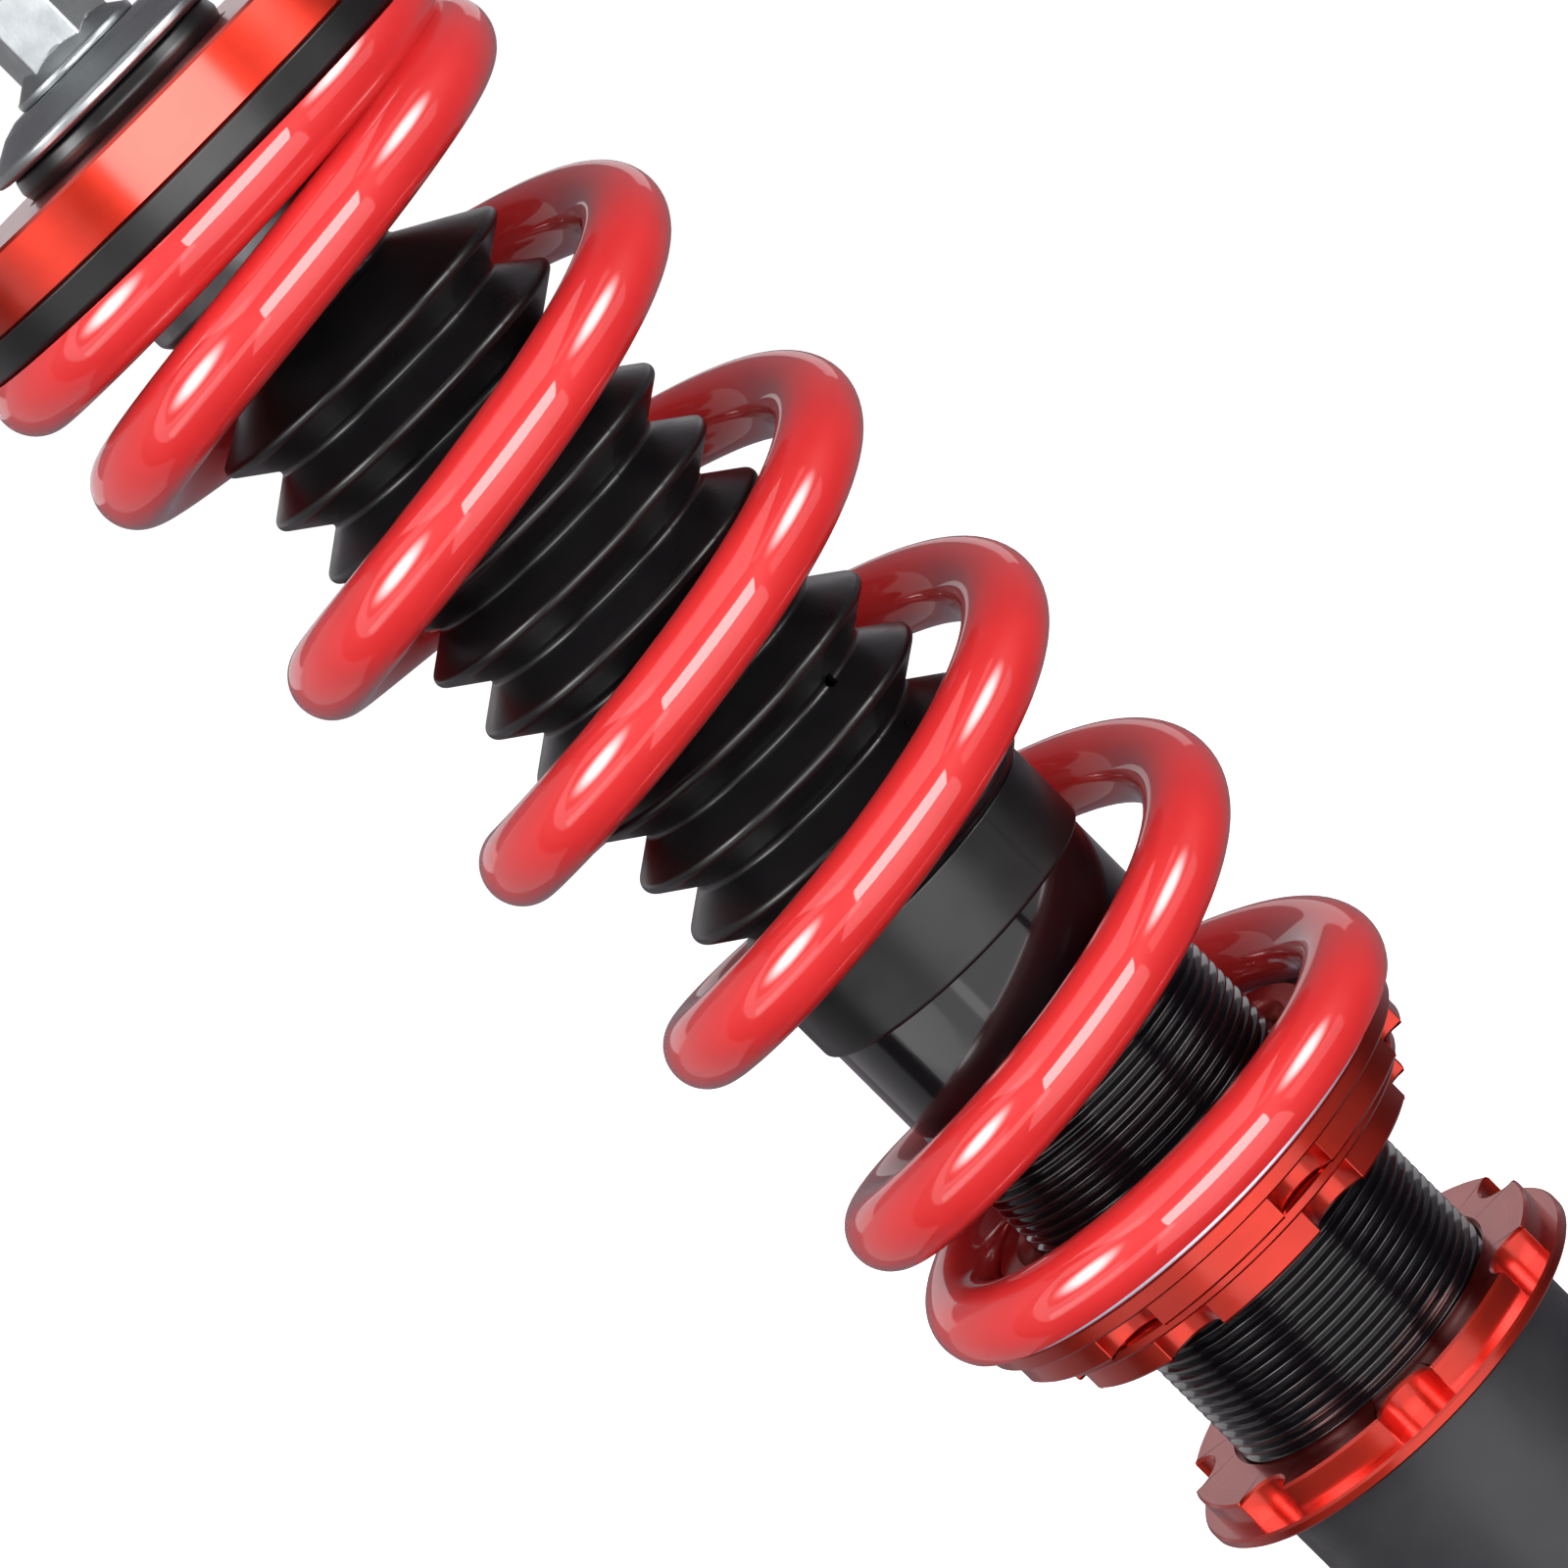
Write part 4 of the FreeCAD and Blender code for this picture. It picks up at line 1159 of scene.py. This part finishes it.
def make_floor():
    """A wide pale floor that the eye just touches."""
    foot = cad_low.z
    reach = 150.0  # metres
    mesh = bpy.data.meshes.new("studio_floor")
    corners = [(-reach, -reach, foot), (reach, -reach, foot), (reach, reach, foot)]
    mesh.from_pydata(corners + [(-reach, reach, foot)], [], [(0, 1, 2, 3)])
    floor = bpy.data.objects.new("studio_floor", mesh)
    bpy.context.scene.collection.objects.link(floor)
    pale = new_material("pale_floor", Roughness=0.9, Specular_IOR_Level=0.0)
    shader_input(pale, "Base Color").default_value = (0.75, 0.75, 0.75, 1)
    shader_input(pale, "Emission Color").default_value = (1, 1, 1, 1)
    shader_input(pale, "Emission Strength").default_value = 1.0
    mesh.materials.append(pale)
    floor.visible_glossy = False
    floor.visible_diffuse = False


def make_world():
    """White for the eye. For light and reflections: dim in front, a paler sweep behind."""
    world = bpy.data.worlds.new("studio")
    bpy.context.scene.world = world
    world.use_nodes = True
    tree = world.node_tree
    tree.nodes.clear()
    seen = tree.nodes.new("ShaderNodeBackground")
    seen.inputs["Color"].default_value = (1, 1, 1, 1)
    around = tree.nodes.new("ShaderNodeBackground")
    direction = tree.nodes.new("ShaderNodeTexCoord")
    split = tree.nodes.new("ShaderNodeSeparateXYZ")
    sweep = tree.nodes.new("ShaderNodeValToRGB")
    sweep.color_ramp.elements[0].position = SWEEP_START
    sweep.color_ramp.elements[0].color = (*DIM_STUDIO, 1)
    sweep.color_ramp.elements[1].position = SWEEP_END
    sweep.color_ramp.elements[1].color = (*PALE_SWEEP, 1)
    tree.links.new(direction.outputs["Generated"], split.inputs[0])
    tree.links.new(split.outputs["Y"], sweep.inputs[0])
    tree.links.new(sweep.outputs[0], around.inputs["Color"])
    path = tree.nodes.new("ShaderNodeLightPath")
    mix = tree.nodes.new("ShaderNodeMixShader")
    output = tree.nodes.new("ShaderNodeOutputWorld")
    tree.links.new(path.outputs["Is Camera Ray"], mix.inputs["Fac"])
    tree.links.new(around.outputs[0], mix.inputs[1])
    tree.links.new(seen.outputs[0], mix.inputs[2])
    tree.links.new(mix.outputs[0], output.inputs["Surface"])


def aim_from(thing, azimuth, elevation, distance):
    """Puts a light where it faces the middle of the object. Azimuth is in degrees from the
    front towards +X."""
    aim = Vector((0, 0, AIM_Z * MM))
    turn, lift = math.radians(azimuth), math.radians(elevation)
    towards = Vector(
        (math.sin(turn) * math.cos(lift), -math.cos(turn) * math.cos(lift), math.sin(lift))
    )
    thing.location = aim + towards * distance
    thing.rotation_mode = "QUATERNION"
    thing.rotation_quaternion = towards.to_track_quat("Z", "Y")
    thing.visible_camera = False


def across(angle, distance):
    """Width of something that fills an angle in degrees at a distance."""
    return 2 * distance * math.tan(math.radians(angle / 2))


def softbox(name, azimuth, elevation, wide, tall, radiance):
    """An evenly lit rectangular light."""
    light = bpy.data.lights.new(name, "AREA")
    light.shape = "RECTANGLE"
    light.size = across(wide, BOX_DISTANCE)
    light.size_y = across(tall, BOX_DISTANCE)
    light.energy = radiance * math.pi * light.size * light.size_y
    lamp = bpy.data.objects.new(name, light)
    bpy.context.scene.collection.objects.link(lamp)
    aim_from(lamp, azimuth, elevation, BOX_DISTANCE)


def glowing_screen(name, azimuth, elevation, wide, tall, radiance):
    """A diffusing screen, brightest in the middle and fading smoothly to its edges."""
    half_x, half_y = across(wide, SCREEN_DISTANCE) / 2, across(tall, SCREEN_DISTANCE) / 2
    mesh = bpy.data.meshes.new(name)
    corners = [(-half_x, -half_y, 0), (half_x, -half_y, 0), (half_x, half_y, 0)]
    mesh.from_pydata(corners + [(-half_x, half_y, 0)], [], [(0, 1, 2, 3)])
    screen = bpy.data.objects.new(name, mesh)
    bpy.context.scene.collection.objects.link(screen)
    glow = new_material(name + "_glow", Roughness=1.0, Specular_IOR_Level=0.0)
    shader_input(glow, "Base Color").default_value = (0, 0, 0, 1)
    shader_input(glow, "Emission Color").default_value = (1, 1, 1, 1)
    scaled = add_node(glow, "VectorMath", operation="MULTIPLY")
    scaled.inputs[1].default_value = (1 / half_x, 1 / half_y, 0)
    join(glow, place(glow), scaled.inputs[0])
    away = add_node(glow, "VectorMath", operation="LENGTH")
    join(glow, scaled.outputs[0], away.inputs[0])
    fade = add_node(glow, "MapRange", interpolation_type="SMOOTHERSTEP")
    limits = {"From Min": 0.1, "From Max": 1, "To Min": radiance, "To Max": 0}
    for socket, number in limits.items():
        fade.inputs[socket].default_value = number
    join(glow, away.outputs["Value"], fade.inputs["Value"])
    join(glow, fade.outputs["Result"], shader_input(glow, "Emission Strength"))
    mesh.materials.append(glow)
    aim_from(screen, azimuth, elevation, SCREEN_DISTANCE)


def make_lights():
    for name, lamp in SOFTBOXES.items():
        softbox(name, *lamp)
    for name, lamp in SCREENS.items():
        glowing_screen(name, *lamp)


def make_camera():
    """A long lens in front of the damper, a little above it, rolled by an eighth of a turn."""
    distance, aim_height, sideways = 1015.73, 285.2, -2.155
    elevation, roll = 10.56, 45.0  # degrees
    lens = 141.3
    lift = math.radians(elevation)
    data = bpy.data.cameras.new("camera")
    data.lens = lens
    data.sensor_width = 36.0
    data.sensor_fit = "HORIZONTAL"
    data.clip_start, data.clip_end = 0.05, 400.0
    camera = bpy.data.objects.new("camera", data)
    bpy.context.scene.collection.objects.link(camera)
    back = Vector((0, -math.cos(lift), math.sin(lift)))
    aim = Vector((sideways, 0, aim_height))
    camera.rotation_mode = "QUATERNION"
    upright = back.to_track_quat("Z", "Y").to_matrix().to_4x4()
    rolled = upright @ Matrix.Rotation(math.radians(-roll), 4, "Z")
    camera.location = (aim + back * distance) * MM
    camera.rotation_quaternion = rolled.to_quaternion()
    bpy.context.scene.camera = camera
    bpy.context.scene.view_settings.view_transform = "Standard"


make_bracket_tube()
make_weld()
make_eye_lug()
make_eye_bush()
make_damper_tube()
make_boot_skirt()
make_boot_bellows()
make_spring()
make_perch()
make_slip_washer()
make_lock_ring("perch_lock_ring", "perch_lock", 21.5, True)
make_lock_ring("bracket_lock_ring", "bracket_lock", -1.4, False)
make_upper_seat()
make_isolator()
make_lower_mount()
make_upper_bush()
make_cup_washer()
make_flange_nut()
make_rod()
dress_cad_nodes()
make_floor()
make_world()
make_lights()
make_camera()
